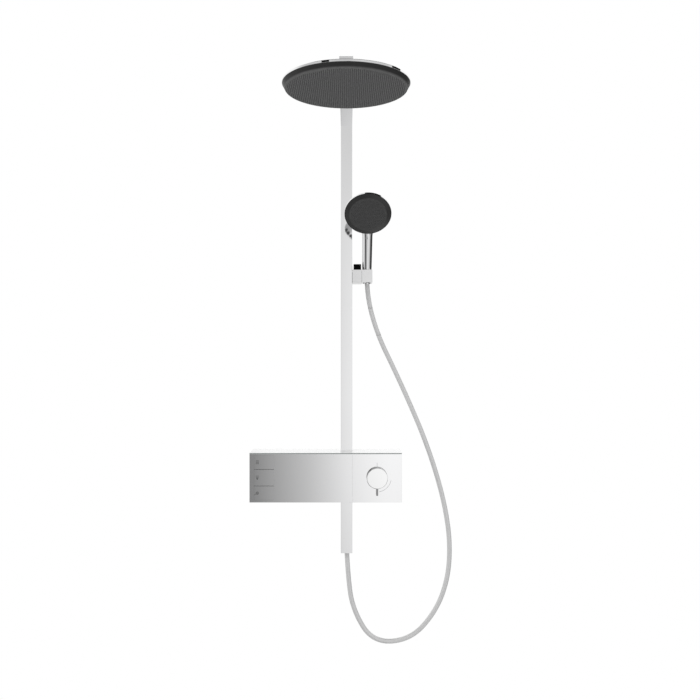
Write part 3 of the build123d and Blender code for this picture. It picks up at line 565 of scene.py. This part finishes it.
floor = add_mesh(
    "floor",
    [(x * floor_half, y * floor_half, floor_height) for x, y in ((-1, -1), (1, -1), (1, 1), (-1, 1))],
    [(0, 1, 2, 3)],
)
floor_paint = bpy.data.materials.new("floor_white")
floor_paint.use_nodes = True
tree = floor_paint.node_tree
tree.nodes.clear()
matt = node(tree, "ShaderNodeBsdfDiffuse", {"Color": floor_grey}).outputs[0]
bright = node(tree, "ShaderNodeEmission", {"Color": white, "Strength": 1.0}).outputs[0]
paint = mix_shader(tree, seen_by_camera(tree), matt, bright)
node(tree, "ShaderNodeOutputMaterial", {"Surface": paint})
floor.data.materials.append(floor_paint)
floor.visible_glossy = False
print("floor at", floor_height)

# %% [markdown]
# ## Finishes
#
# Each finish is a short function that builds a node material from a Principled shader. Nothing real
# is quite even, so most of them let a soft noise vary the gloss, and some raise a fine bump. Patterns
# read Object coordinates, which are metres in the object's own frame, so a grain of a tenth of a
# millimetre has a scale of ten thousand.

# %% Material helpers
noise_low = 0.3
noise_high = 0.7
finishes = {}
own_finishes = {}


def finish(name, colour, metallic, roughness):
    """A new material with its tree, its Principled shader and its Object coordinates."""
    material = bpy.data.materials.new(name)
    material.use_nodes = True
    tree = material.node_tree
    shader = tree.nodes["Principled BSDF"]
    shader.inputs["Base Color"].default_value = (*colour, 1)
    shader.inputs["Metallic"].default_value = metallic
    shader.inputs["Roughness"].default_value = roughness
    place = node(tree, "ShaderNodeTexCoord").outputs["Object"]
    return material, tree, shader, place


def noise_of(tree, place, scale, detail=2.0):
    """A soft noise of a given scale."""
    inputs = {"Vector": place, "Scale": scale, "Detail": detail}
    return node(tree, "ShaderNodeTexNoise", inputs).outputs[0]


def vary_roughness(tree, shader, place, scale, low, high):
    """Lets a soft noise move the roughness between two values."""
    haze = noise_of(tree, place, scale, detail=4.0)
    tree.links.new(spread_of(tree, haze, noise_low, noise_high, low, high), shader.inputs["Roughness"])


def add_bump(tree, shader, height, strength, distance):
    """Raises the surface by a height pattern."""
    bump = node(tree, "ShaderNodeBump", {"Height": height, "Strength": strength, "Distance": distance})
    tree.links.new(bump.outputs[0], shader.inputs["Normal"])


print("material helpers are ready")

# %% [markdown]
# ### Chrome
#
# Polished chrome is a sharp mirror with a trace of haze where it was wiped. Plating on moulded plastic
# is a little softer, and follows the faint waves of the moulding. The holder and the knob's lever have
# a satin plating, and a darker grey painted on as shade makes them mirror less. Grey paint could copy
# this look from one side only; a metallic shader mirrors the studio and is right from every side.

# %% Chrome
def polished_chrome():
    """Bright plating on metal."""
    colour = (0.93, 0.93, 0.935)
    material, tree, shader, place = finish("polished_chrome", colour, metallic=1, roughness=0.04)
    vary_roughness(tree, shader, place, scale=14, low=0.025, high=0.06)
    return material


def plated_plastic():
    """Bright plating on moulded plastic."""
    colour = (0.92, 0.92, 0.925)
    material, tree, shader, place = finish("plated_plastic", colour, metallic=1, roughness=0.05)
    vary_roughness(tree, shader, place, scale=40, low=0.035, high=0.075)
    waves = noise_of(tree, place, scale=45, detail=1.0)
    add_bump(tree, shader, waves, strength=0.1, distance=0.0002)
    return material


def shaded_chrome(name, grey, roughness, haze=0.03):
    """Satin chrome with a darker grey, painted shade, so that it mirrors less."""
    colour = (grey, grey, grey * 1.005)
    material, tree, shader, place = finish(name, colour, metallic=1, roughness=roughness)
    vary_roughness(tree, shader, place, scale=60, low=roughness - haze, high=roughness + haze)
    return material


finishes["chrome_metal"] = polished_chrome()
finishes["chrome_plated_plastic"] = plated_plastic()
# the darker greys of the holder and the lever are painted shade
holder_chrome = shaded_chrome("holder_chrome", grey=0.80, roughness=0.09)
own_finishes["slider_carriage"] = holder_chrome
own_finishes["holder_socket"] = holder_chrome
own_finishes["knob_lever"] = shaded_chrome("lever_chrome", grey=0.36, roughness=0.2)
print("pieces with a chrome of their own:", list(own_finishes))

# %% [markdown]
# ### Knob
#
# The knob is polished on its flat front and satin on the turned side that the fingers hold, with the
# fine lines of the lathe around it; the side's darker grey is painted shade. Two materials on one mesh
# would need its faces picked out. The surface's own normal tells the front from the side, so one
# material can hold both.

# %% Knob chrome
front_grey = 0.95
# the side's darker grey is painted shade
side_shade_grey = 0.36
front_roughness = 0.04
side_roughness = 0.22


def facing_of(tree, axis):
    """How squarely the surface faces along an axis, either way, from 0 to 1."""
    normal = node(tree, "ShaderNodeTexCoord").outputs["Normal"]
    parts = node(tree, "ShaderNodeSeparateXYZ", {0: normal}).outputs
    return math_of(tree, "ABSOLUTE", parts[axis])


def knob_chrome():
    """Polished on the flat front, satin on the turned side, which is painted darker as shade."""
    material, tree, shader, place = finish("knob_chrome", (0.95, 0.95, 0.955), metallic=1, roughness=0.05)
    side = spread_of(tree, facing_of(tree, axis=1), low=0.3, high=0.8, to_low=1.0, to_high=0.0)
    # the side is painted darker, as shade
    tree.links.new(mix_of(tree, side, front_grey, side_shade_grey), shader.inputs["Base Color"])
    tree.links.new(mix_of(tree, side, front_roughness, side_roughness), shader.inputs["Roughness"])
    lines = node(tree, "ShaderNodeMapping", {"Vector": place, "Scale": (0.02, 1, 0.02)}).outputs[0]
    turned = math_of(tree, "MULTIPLY", noise_of(tree, lines, scale=3000), side)
    add_bump(tree, shader, turned, strength=0.2, distance=0.00005)
    return material


own_finishes["thermostat_knob"] = knob_chrome()
print("knob greys, front and side:", front_grey, side_shade_grey)

# %% [markdown]
# ### Plastics and rubber
#
# The black release button, the dark nozzle mats, the white slides and the seals are all moulded. What
# tells them apart is colour, gloss and the grain of the mould, so one function makes them all.

# %% Plastics and rubber
def moulded(name, colour, roughness, grain, depth, shine=0.5):
    """Moulded plastic or rubber with a fine grain."""
    material, tree, shader, place = finish(name, colour, metallic=0, roughness=roughness)
    shader.inputs["Specular IOR Level"].default_value = shine
    vary_roughness(tree, shader, place, scale=60, low=roughness - 0.06, high=roughness + 0.08)
    add_bump(tree, shader, noise_of(tree, place, grain), strength=0.35, distance=depth)
    return material


moulded_looks = {
    "silicone": {"colour": (0.05, 0.05, 0.052), "roughness": 0.6, "grain": 1500, "depth": 0.00004},
    "white_plastic": {"colour": (0.72, 0.72, 0.7), "roughness": 0.45, "grain": 2000, "depth": 0.00004},
    "seal_rubber": {"colour": (0.02, 0.02, 0.02), "roughness": 0.7, "grain": 1200, "depth": 0.00005},
    "black_plastic": {
        "colour": (0.0015, 0.0015, 0.0015),
        "roughness": 0.4,
        "grain": 3000,
        "depth": 0.00004,
        "shine": 0.04,
    },
}
for name, look in moulded_looks.items():
    finishes[name] = moulded(name, **look)
print("moulded finishes:", list(moulded_looks))

# %% [markdown]
# ### Spray faces
#
# Both showers spray from a round flat face. Its middle and its size could be written down, but they
# are also in the mesh: the face is what lies furthest along the way that it sprays. Measured there,
# they stay right if the solid model changes.

# %% Middle of a spray face
flat_tolerance = 1e-5
handset_face_tilt = math.radians(42)
overhead_way = Vector((0, 0, -1))
handset_way = Vector((0, -math.cos(handset_face_tilt), -math.sin(handset_face_tilt)))


def foremost_flat(node_name, way):
    """The middle and the radius of a round flat, the part of a node that lies furthest one way."""
    corners = [vertex.co for vertex in nodes[node_name].data.vertices]
    front = max(corner.dot(way) for corner in corners)
    flat = [corner for corner in corners if front - corner.dot(way) < flat_tolerance]
    lowest = Vector([min(corner[axis] for corner in flat) for axis in range(3)])
    highest = Vector([max(corner[axis] for corner in flat) for axis in range(3)])
    middle = (lowest + highest) / 2
    return middle, max((corner - middle).length for corner in flat)


overhead_middle, overhead_radius = foremost_flat("spray_plate", overhead_way)
handset_middle, handset_radius = foremost_flat("handset_face", handset_way)
print("spray flats, millimetres:", round(overhead_radius * 1000, 1), round(handset_radius * 1000, 1))

# %% [markdown]
# Both faces are matt graphite plastic with a glossier border, whose darker grey is painted shade on its
# slope. The border is round, so its mask is the distance from the middle of the face. An image would
# need a UV map; a distance needs nothing and stays sharp at any size.

# %% Spray faces
# moves the border's painted shade this far outwards on the overhead shower
overhead_border_shift = 0.0010
border_inside = 0.0008
border_outside = 0.0016
mottle_share = 0.1
face_roughness = 0.55
border_roughness = 0.36


def spray_face(name, middle, radius, face_grey, border_shade_grey, shine):
    """Graphite plastic with a border past a radius around the middle, painted darker as shade on its slope.
    """
    colour = (face_grey, face_grey, face_grey * 1.02)
    material, tree, shader, place = finish(name, colour, metallic=0, roughness=0.5)
    shader.inputs["Specular IOR Level"].default_value = shine
    inputs = {0: place, 1: middle}
    distance = node(tree, "ShaderNodeVectorMath", inputs, operation="DISTANCE").outputs["Value"]
    border = spread_of(tree, distance, radius - border_inside, radius + border_outside, 0.0, 1.0)
    mottle = noise_of(tree, place, scale=160, detail=5.0)
    greys = (face_grey * (1 - mottle_share), face_grey * (1 + mottle_share))
    face = spread_of(tree, mottle, noise_low, noise_high, *greys)
    # the border's darker grey is painted shade on its slope
    tree.links.new(mix_of(tree, border, face, border_shade_grey), shader.inputs["Base Color"])
    tree.links.new(mix_of(tree, border, face_roughness, border_roughness), shader.inputs["Roughness"])
    add_bump(tree, shader, noise_of(tree, place, scale=2500), strength=0.3, distance=0.00005)
    return material


overhead_border = overhead_radius + overhead_border_shift
# each border grey is painted shade on the sloped rim of its face
overhead_greys = {"face_grey": 0.136, "border_shade_grey": 0.030, "shine": 0.15}
handset_greys = {"face_grey": 0.056, "border_shade_grey": 0.024, "shine": 0.5}
overhead_face = spray_face("overhead_face", overhead_middle, overhead_border, **overhead_greys)
handset_face = spray_face("handset_face", handset_middle, handset_radius, **handset_greys)
own_finishes["spray_plate"] = overhead_face
own_finishes["handset_face"] = handset_face
print("border of the overhead shower, millimetres:", round(overhead_border * 1000, 1))

# %% [markdown]
# ### Metals at the back
#
# The valve and the unions are turned brass, and the pipes and brackets are drawn steel with the fine
# lines that drawing leaves along them. Such lines are a noise that is stretched one way: Mapping
# squeezes the coordinates along the pipe before the noise reads them.

# %% Brass and steel
def turned_brass():
    """Brass as it comes from the lathe."""
    material, tree, shader, place = finish("turned_brass", (0.74, 0.56, 0.29), metallic=1, roughness=0.28)
    vary_roughness(tree, shader, place, scale=90, low=0.2, high=0.38)
    return material


def brushed_steel(name):
    """Steel with fine lines along it."""
    material, tree, shader, place = finish(name, (0.66, 0.66, 0.67), metallic=1, roughness=0.3)
    stretched = node(tree, "ShaderNodeMapping", {"Vector": place, "Scale": (1, 1, 0.03)}).outputs[0]
    add_bump(tree, shader, noise_of(tree, stretched, scale=900), strength=0.2, distance=0.0001)
    vary_roughness(tree, shader, stretched, scale=400, low=0.22, high=0.4)
    return material


finishes["brass"] = turned_brass()
finishes["pipe"] = brushed_steel("drawn_pipe")
finishes["steel"] = brushed_steel("screw_steel")
print("finishes so far:", len(finishes))

# %% [markdown]
# ### Shelf glass
#
# The shelf is safety glass with white paint on its back: white from above, grey along its cut edge.
# Clear glass over a white sheet would be truer, but it needs a second mesh and many more light paths.
# A white ground under a clear coat looks the same, and the normal tells the edge from the top.

# %% Shelf glass
edge_colour = (0.30, 0.33, 0.32, 1)
top_colour = (0.96, 0.965, 0.965, 1)


def shelf_glass():
    """White back-painted glass with a grey edge."""
    material, tree, shader, place = finish("shelf_glass", (0.9, 0.91, 0.91), metallic=0, roughness=0.05)
    shader.inputs["IOR"].default_value = 1.52
    shader.inputs["Coat Weight"].default_value = 1.0
    shader.inputs["Coat Roughness"].default_value = 0.02
    top = spread_of(tree, facing_of(tree, axis=2), low=0.4, high=0.8, to_low=0.0, to_high=1.0)
    colours = {0: top, 6: edge_colour, 7: top_colour}
    paint = node(tree, "ShaderNodeMix", colours, data_type="RGBA").outputs[2]
    tree.links.new(paint, shader.inputs["Base Color"])
    vary_roughness(tree, shader, place, scale=30, low=0.03, high=0.08)
    return material


finishes["clear_glass"] = shelf_glass()
print("finishes so far:", len(finishes))

# %% [markdown]
# ### Hose skin
#
# The hose has a silver spiral under a clear skin. The spiral is a sine of the turns around and along,
# drawn from the tube's UV map so that it follows every bend. Object coordinates would cut straight
# through the bends instead.

# %% Hose skin
hose_spiral_pitch = 0.0028
hose_dark_grey = 0.66
hose_light_grey = 0.76


def hose_silver():
    """A faint silver spiral under a clear skin."""
    material, tree, shader, _ = finish("hose_silver", (0.7, 0.7, 0.71), metallic=0.15, roughness=0.3)
    shader.inputs["Coat Weight"].default_value = 0.4
    shader.inputs["Coat Roughness"].default_value = 0.12
    skin_map = node(tree, "ShaderNodeUVMap", uv_map="along").outputs[0]
    parts = node(tree, "ShaderNodeSeparateXYZ", {0: skin_map}).outputs
    turns = math_of(tree, "MULTIPLY_ADD", parts[1], 1 / hose_spiral_pitch, parts[0])
    swing = math_of(tree, "SINE", math_of(tree, "MULTIPLY", turns, 2 * math.pi))
    grey = spread_of(tree, swing, -1.0, 1.0, hose_dark_grey, hose_light_grey)
    tree.links.new(grey, shader.inputs["Base Color"])
    add_bump(tree, shader, swing, strength=0.15, distance=0.0001)
    return material


finishes["hose_skin"] = hose_silver()
print("finishes so far:", len(finishes))

# %% [markdown]
# ### Give every piece its finish
#
# Each rigid piece comes with one material slot, named for what it is made of. The slot's name finds
# the finish, and the few pieces with a finish of their own are looked up first. Doing this by name
# leaves no piece out.

# %% Give every piece its finish
for name, piece in nodes.items():
    slot_name = piece.data.materials[0].name
    material = own_finishes[name] if name in own_finishes else finishes[slot_name]
    piece.material_slots[0].material = material
for tube in hose_pieces:
    tube.data.materials.append(finishes["hose_skin"])
print("finishes:", len(finishes) + len(own_finishes))

# %% [markdown]
# The arm and the overhead shower stand out in front of the column. A flat mirror that faces the camera
# would show their dark undersides, which a photographer avoids with a white sheet between the two.
# Leaving these pieces out of the mirror rays does the same, and moves nothing.

# %% Keep the arm and the overhead shower out of the mirrors
unmirrored_nodes = [
    "arm_profile",
    "arm_front_cap",
    "arm_tube",
    "ball_socket",
    "ball_retainer",
    "ball_liner",
    "head_ball",
    "head_cover",
    "nozzle_mat",
    "spray_plate",
]
for name in unmirrored_nodes:
    nodes[name].visible_glossy = False
print("left out of mirror rays:", len(unmirrored_nodes))

# %% [markdown]
# ## Nozzles
#
# Soft silicone nozzles stand out of both spray faces in a honeycomb pattern, hundreds on the smaller
# one alone. Placing them one by one in a loop would work, but what repeats is work for Geometry Nodes.
# A tree is built with named inputs for its sizes, so that it can be used again with others. The object
# that runs it then keeps the result as a plain mesh, which moves and exports as any other piece does.

# %% Geometry Nodes helpers
def geometry_tree(name, sizes):
    """An empty node tree with a named size for each input, and a material."""
    tree = bpy.data.node_groups.new(name, "GeometryNodeTree")
    for size in sizes:
        tree.interface.new_socket(size, in_out="INPUT", socket_type="NodeSocketFloat")
    tree.interface.new_socket("Material", in_out="INPUT", socket_type="NodeSocketMaterial")
    tree.interface.new_socket("Geometry", in_out="OUTPUT", socket_type="NodeSocketGeometry")
    return tree, node(tree, "NodeGroupInput").outputs


def end_tree(tree, shape, material):
    """Realizes the instances, sets the material and leads to the output."""
    whole = node(tree, "GeometryNodeRealizeInstances", {0: shape}).outputs[0]
    smooth = node(tree, "GeometryNodeSetShadeSmooth", {0: whole, "Shade Smooth": False}).outputs[0]
    coloured = node(tree, "GeometryNodeSetMaterial", {0: smooth, "Material": material}).outputs[0]
    node(tree, "NodeGroupOutput", {0: coloured})


def grow(name, tree, sizes, material, placing):
    """Runs a node tree, keeps the result as a plain mesh and puts it in its place."""
    piece = add_piece(name, bpy.data.meshes.new(name))
    modifier = piece.modifiers.new("grow", "NODES")
    modifier.node_group = tree
    values = {**sizes, "Material": material}
    for socket in tree.interface.items_tree:
        if socket.in_out == "INPUT":
            modifier[socket.identifier] = values[socket.name]
    bpy.context.view_layer.update()
    result = piece.evaluated_get(bpy.context.evaluated_depsgraph_get())
    mesh = bpy.data.meshes.new_from_object(result)
    piece.modifiers.remove(modifier)
    piece.data = mesh
    mesh.transform(placing)
    print(name, "faces:", len(mesh.polygons))
    return piece


print("Geometry Nodes helpers are ready")

# %% [markdown]
# A honeycomb is a grid whose every second row is shifted by half a step, with rows that lie closer by
# half the root of three. The grid is cut to a disc, and a small cone stands on each point that is
# left. Each cone has only a few faces, because there are so many of them.

# %% Node tree for a field of nozzles
nozzle_corners = 8
nozzle_tip_share = 0.6


def points_across(tree, radius, step):
    """An odd number of grid points that reaches past a radius on both sides, and its width."""
    steps = math_of(tree, "CEIL", math_of(tree, "DIVIDE", radius, step))
    count = math_of(tree, "MULTIPLY_ADD", steps, 2.0, 1.0)
    return count, math_of(tree, "MULTIPLY", math_of(tree, "MULTIPLY", steps, 2.0), step)


def nozzle_field_tree():
    """A disc of nozzles in a honeycomb, standing up along Z."""
    tree, sizes = geometry_tree("nozzle_field", ["Field Radius", "Pitch", "Nozzle Radius", "Nozzle Height"])
    row_step = math_of(tree, "MULTIPLY", sizes["Pitch"], math.sqrt(3) / 2)
    across_count, across = points_across(tree, sizes["Field Radius"], sizes["Pitch"])
    rows_count, rows = points_across(tree, sizes["Field Radius"], row_step)
    counts = {"Size X": across, "Size Y": rows, "Vertices X": across_count, "Vertices Y": rows_count}
    grid = node(tree, "GeometryNodeMeshGrid", counts).outputs[0]
    place = node(tree, "GeometryNodeInputPosition").outputs[0]
    parts = node(tree, "ShaderNodeSeparateXYZ", {0: place}).outputs
    row = math_of(tree, "ROUND", math_of(tree, "DIVIDE", parts[1], row_step))
    odd = math_of(tree, "FLOORED_MODULO", row, 2.0)
    half_pitch = math_of(tree, "MULTIPLY", sizes["Pitch"], 0.5)
    shift = node(tree, "ShaderNodeCombineXYZ", {0: math_of(tree, "MULTIPLY", odd, half_pitch)}).outputs[0]
    honeycomb = node(tree, "GeometryNodeSetPosition", {0: grid, "Offset": shift}).outputs[0]
    reach = node(tree, "ShaderNodeVectorMath", {0: place}, operation="LENGTH").outputs["Value"]
    outside = node(tree, "FunctionNodeCompare", {0: reach, 1: sizes["Field Radius"]}).outputs[0]
    disc = node(tree, "GeometryNodeDeleteGeometry", {0: honeycomb, 1: outside}).outputs[0]
    cone_sizes = {
        "Vertices": nozzle_corners,
        "Radius Top": math_of(tree, "MULTIPLY", sizes["Nozzle Radius"], nozzle_tip_share),
        "Radius Bottom": sizes["Nozzle Radius"],
        "Depth": sizes["Nozzle Height"],
    }
    cone = node(tree, "GeometryNodeMeshCone", cone_sizes).outputs[0]
    nozzles = node(tree, "GeometryNodeInstanceOnPoints", {"Points": disc, "Instance": cone}).outputs[0]
    end_tree(tree, nozzles, sizes["Material"])
    return tree


nozzle_tree = nozzle_field_tree()
print("nodes in the nozzle tree:", len(nozzle_tree.nodes))

# %% [markdown]
# The same tree serves both spray faces. Each field is grown around the origin and then turned to the
# way that its face sprays, and moved to the middle that was measured above. The turn and the move go
# into the mesh itself, so the object stays at the origin.

# %% Nozzles on both spray faces
nozzle_margin = 0.003
nozzle_pitch = 0.0049
nozzle_radius = 0.0010
nozzle_height = 0.0010
nozzle_fields = [
    {
        "name": "overhead_nozzles",
        "body": "overhead",
        "middle": overhead_middle,
        "way": overhead_way,
        "radius": overhead_radius,
    },
    {
        "name": "handset_nozzles",
        "body": "handset",
        "middle": handset_middle,
        "way": handset_way,
        "radius": handset_radius,
    },
]
for field in nozzle_fields:
    turned = Vector((0, 0, 1)).rotation_difference(field["way"]).to_matrix().to_4x4()
    nozzle_sizes = {
        "Field Radius": field["radius"] - nozzle_margin,
        "Pitch": nozzle_pitch,
        "Nozzle Radius": nozzle_radius,
        "Nozzle Height": nozzle_height,
    }
    placing = Matrix.Translation(field["middle"]) @ turned
    piece = grow(field["name"], nozzle_tree, nozzle_sizes, finishes["silicone"], placing)
    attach(piece, field["body"])
    piece.visible_glossy = False

# %% [markdown]
# ## Threads at the wall
#
# Behind the panel, two unions screw into the wall. Their thread is a spiral ridge. A bump could hint
# at it, but the thread shows against the light at its outline, so it is a shape: Geometry Nodes has a
# spiral curve, and a small four-cornered profile swept along it is a thread.

# %% Node tree for a thread
steps_per_turn = 40
ridge_corners = 4


def thread_tree():
    """A spiral ridge that climbs along Z."""
    tree, sizes = geometry_tree("thread", ["Radius", "Length", "Pitch", "Ridge"])
    spiral_sizes = {
        "Resolution": steps_per_turn,
        "Rotations": math_of(tree, "DIVIDE", sizes["Length"], sizes["Pitch"]),
        "Start Radius": sizes["Radius"],
        "End Radius": sizes["Radius"],
        "Height": sizes["Length"],
    }
    spiral = node(tree, "GeometryNodeCurveSpiral", spiral_sizes).outputs[0]
    ridge_sizes = {"Resolution": ridge_corners, "Radius": sizes["Ridge"]}
    ridge = node(tree, "GeometryNodeCurvePrimitiveCircle", ridge_sizes).outputs[0]
    swept = {"Curve": spiral, "Profile Curve": ridge, "Fill Caps": True}
    thread = node(tree, "GeometryNodeCurveToMesh", swept).outputs[0]
    end_tree(tree, thread, sizes["Material"])
    return tree


screw_tree = thread_tree()
print("nodes in the thread tree:", len(screw_tree.nodes))

# %% [markdown]
# A union's box gives its axis and its far end. The ridge is sunk a little into the union, so that no
# gap shows under it, and it stops short of both ends, as a cut thread does.

# %% Threads on both unions
union_radius = 0.01048
thread_pitch = 0.001814
thread_ridge = 0.0006
ridge_sunk_share = 0.3
thread_start = 0.0025
thread_end_gap = 0.002
along_y = Matrix.Rotation(math.radians(-90), 4, "X")
for side in ("left", "right"):
    lowest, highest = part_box("inlet_union_" + side)
    axis = Vector(((lowest.x + highest.x) / 2, thread_start, (lowest.z + highest.z) / 2))
    thread_sizes = {
        "Radius": union_radius - thread_ridge * ridge_sunk_share,
        "Length": highest.y - axis.y - thread_end_gap,
        "Pitch": thread_pitch,
        "Ridge": thread_ridge,
    }
    placing = Matrix.Translation(axis) @ along_y
    piece = grow("union_thread_" + side, screw_tree, thread_sizes, finishes["brass"], placing)
    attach(piece, "column")

# %% [markdown]
# ## Marks on the panel
#
# Printed marks are strokes of ink. A texture could hold them, but it would need a picture and a UV
# map. Here each stroke is a round wire along a short line, flattened until it is as thin as ink. The
# lines are drawn around the mark's own middle, across in X and up in Z, and then put in their place.

# %% Stroke helpers
ink_share = 0.25


def draw_strokes(name, strokes, width, place, material):
    """Flat strokes around a place on an upright front, each a row of (x, z) points."""
    line = bpy.data.curves.new(name, "CURVE")
    line.dimensions = "3D"
    line.bevel_depth = width / 2
    line.bevel_resolution = 1
    line.use_fill_caps = True
    for stroke in strokes:
        spline = line.splines.new("POLY")
        spline.points.add(len(stroke) - 1)
        for point, (x, z) in zip(spline.points, stroke):
            point.co = (x, 0, z, 1)
    mesh = mesh_of(name, line)
    mesh.transform(Matrix.Translation(place) @ Matrix.Diagonal((1, ink_share, 1, 1)))
    mesh.materials.clear()
    mesh.materials.append(material)
    return add_piece(name, mesh)


def arc_of(radius, start, end, count):
    """Points on an arc around the middle, from a start angle to an end angle in degrees."""
    turns = [math.radians(start + (end - start) * step / (count - 1)) for step in range(count)]
    return [(radius * math.cos(turn), radius * math.sin(turn)) for turn in turns]


print("ink stands proud by this share of its half width:", ink_share)

# %% [markdown]
# Each button has a small symbol that shows what it feeds: the rain face, its middle jet, or the hand
# shower. The first two are the same bar with three lines below it, which fall straight or meet in a
# point, so one function draws both.

# %% Button symbols
symbol_inset = 0.0085
symbol_stroke = 0.0011
bar_half = 0.0042
bar_height = 0.0045
line_gap = 0.0028
line_top = 0.0024
line_foot = -0.0048
rain_foot_gap = line_gap
jet_foot_gap = 0.0008
hand_outer = 0.0034
hand_inner = 0.0014
hand_grip = [(-0.0029, -0.0018), (-0.0078, -0.0050)]


def spray_symbol(foot_gap):
    """A wide bar with three lines, whose feet lie a gap apart."""
    bar = [(-bar_half, bar_height), (bar_half, bar_height)]
    lines = [[(side * line_gap, line_top), (side * foot_gap, line_foot)] for side in (-1, 0, 1)]
    return [bar] + lines


def hand_symbol():
    """A round spray head on a slanted handle."""
    outer = arc_of(hand_outer, start=0, end=360, count=17)
    inner = arc_of(hand_inner, start=0, end=360, count=13)
    return [outer, inner, hand_grip]


ink = moulded("printed_ink", (0.07, 0.07, 0.07), roughness=0.5, grain=2000, depth=0.00002)
symbols = {
    "top": spray_symbol(rain_foot_gap),
    "middle": spray_symbol(jet_foot_gap),
    "bottom": hand_symbol(),
}
for button, strokes in symbols.items():
    lowest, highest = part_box("select_button_" + button)
    place = Vector((lowest.x + symbol_inset, lowest.y, (lowest.z + highest.z) / 2))
    piece = draw_strokes("symbol_" + button, strokes, symbol_stroke, place, ink)
    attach(piece, "button_" + button)
print("symbols:", len(symbols))

# %% [markdown]
# Around the knob there are a short line for the set temperature, straight above it, and an arc that
# turns to warm. They are on the panel's plate and stay still while the knob turns, so they are a piece
# of their own. Their place and size follow the knob's box.

# %% Knob scale
scale_stroke = 0.0008
tick_from = 0.0025
tick_to = 0.0115
arc_gap = 0.0095
warm_from = -10
warm_to = -82

knob_low, knob_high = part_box("thermostat_knob")
knob_radius = (knob_high.x - knob_low.x) / 2
plate_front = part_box("front_plate")[0].y
place = Vector(((knob_low.x + knob_high.x) / 2, plate_front, (knob_low.z + knob_high.z) / 2))
tick = [(0, knob_radius + tick_from), (0, knob_radius + tick_to)]
warm_arc = arc_of(knob_radius + arc_gap, start=warm_from, end=warm_to, count=25)
scale_ink = moulded("scale_ink", (0.3, 0.3, 0.3), roughness=0.5, grain=2000, depth=0.00002)
piece = draw_strokes("knob_scale", [tick, warm_arc], scale_stroke, place, scale_ink)
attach(piece, "column")
print("knob scale at radius, millimetres:", round((knob_radius + arc_gap) * 1000, 1))
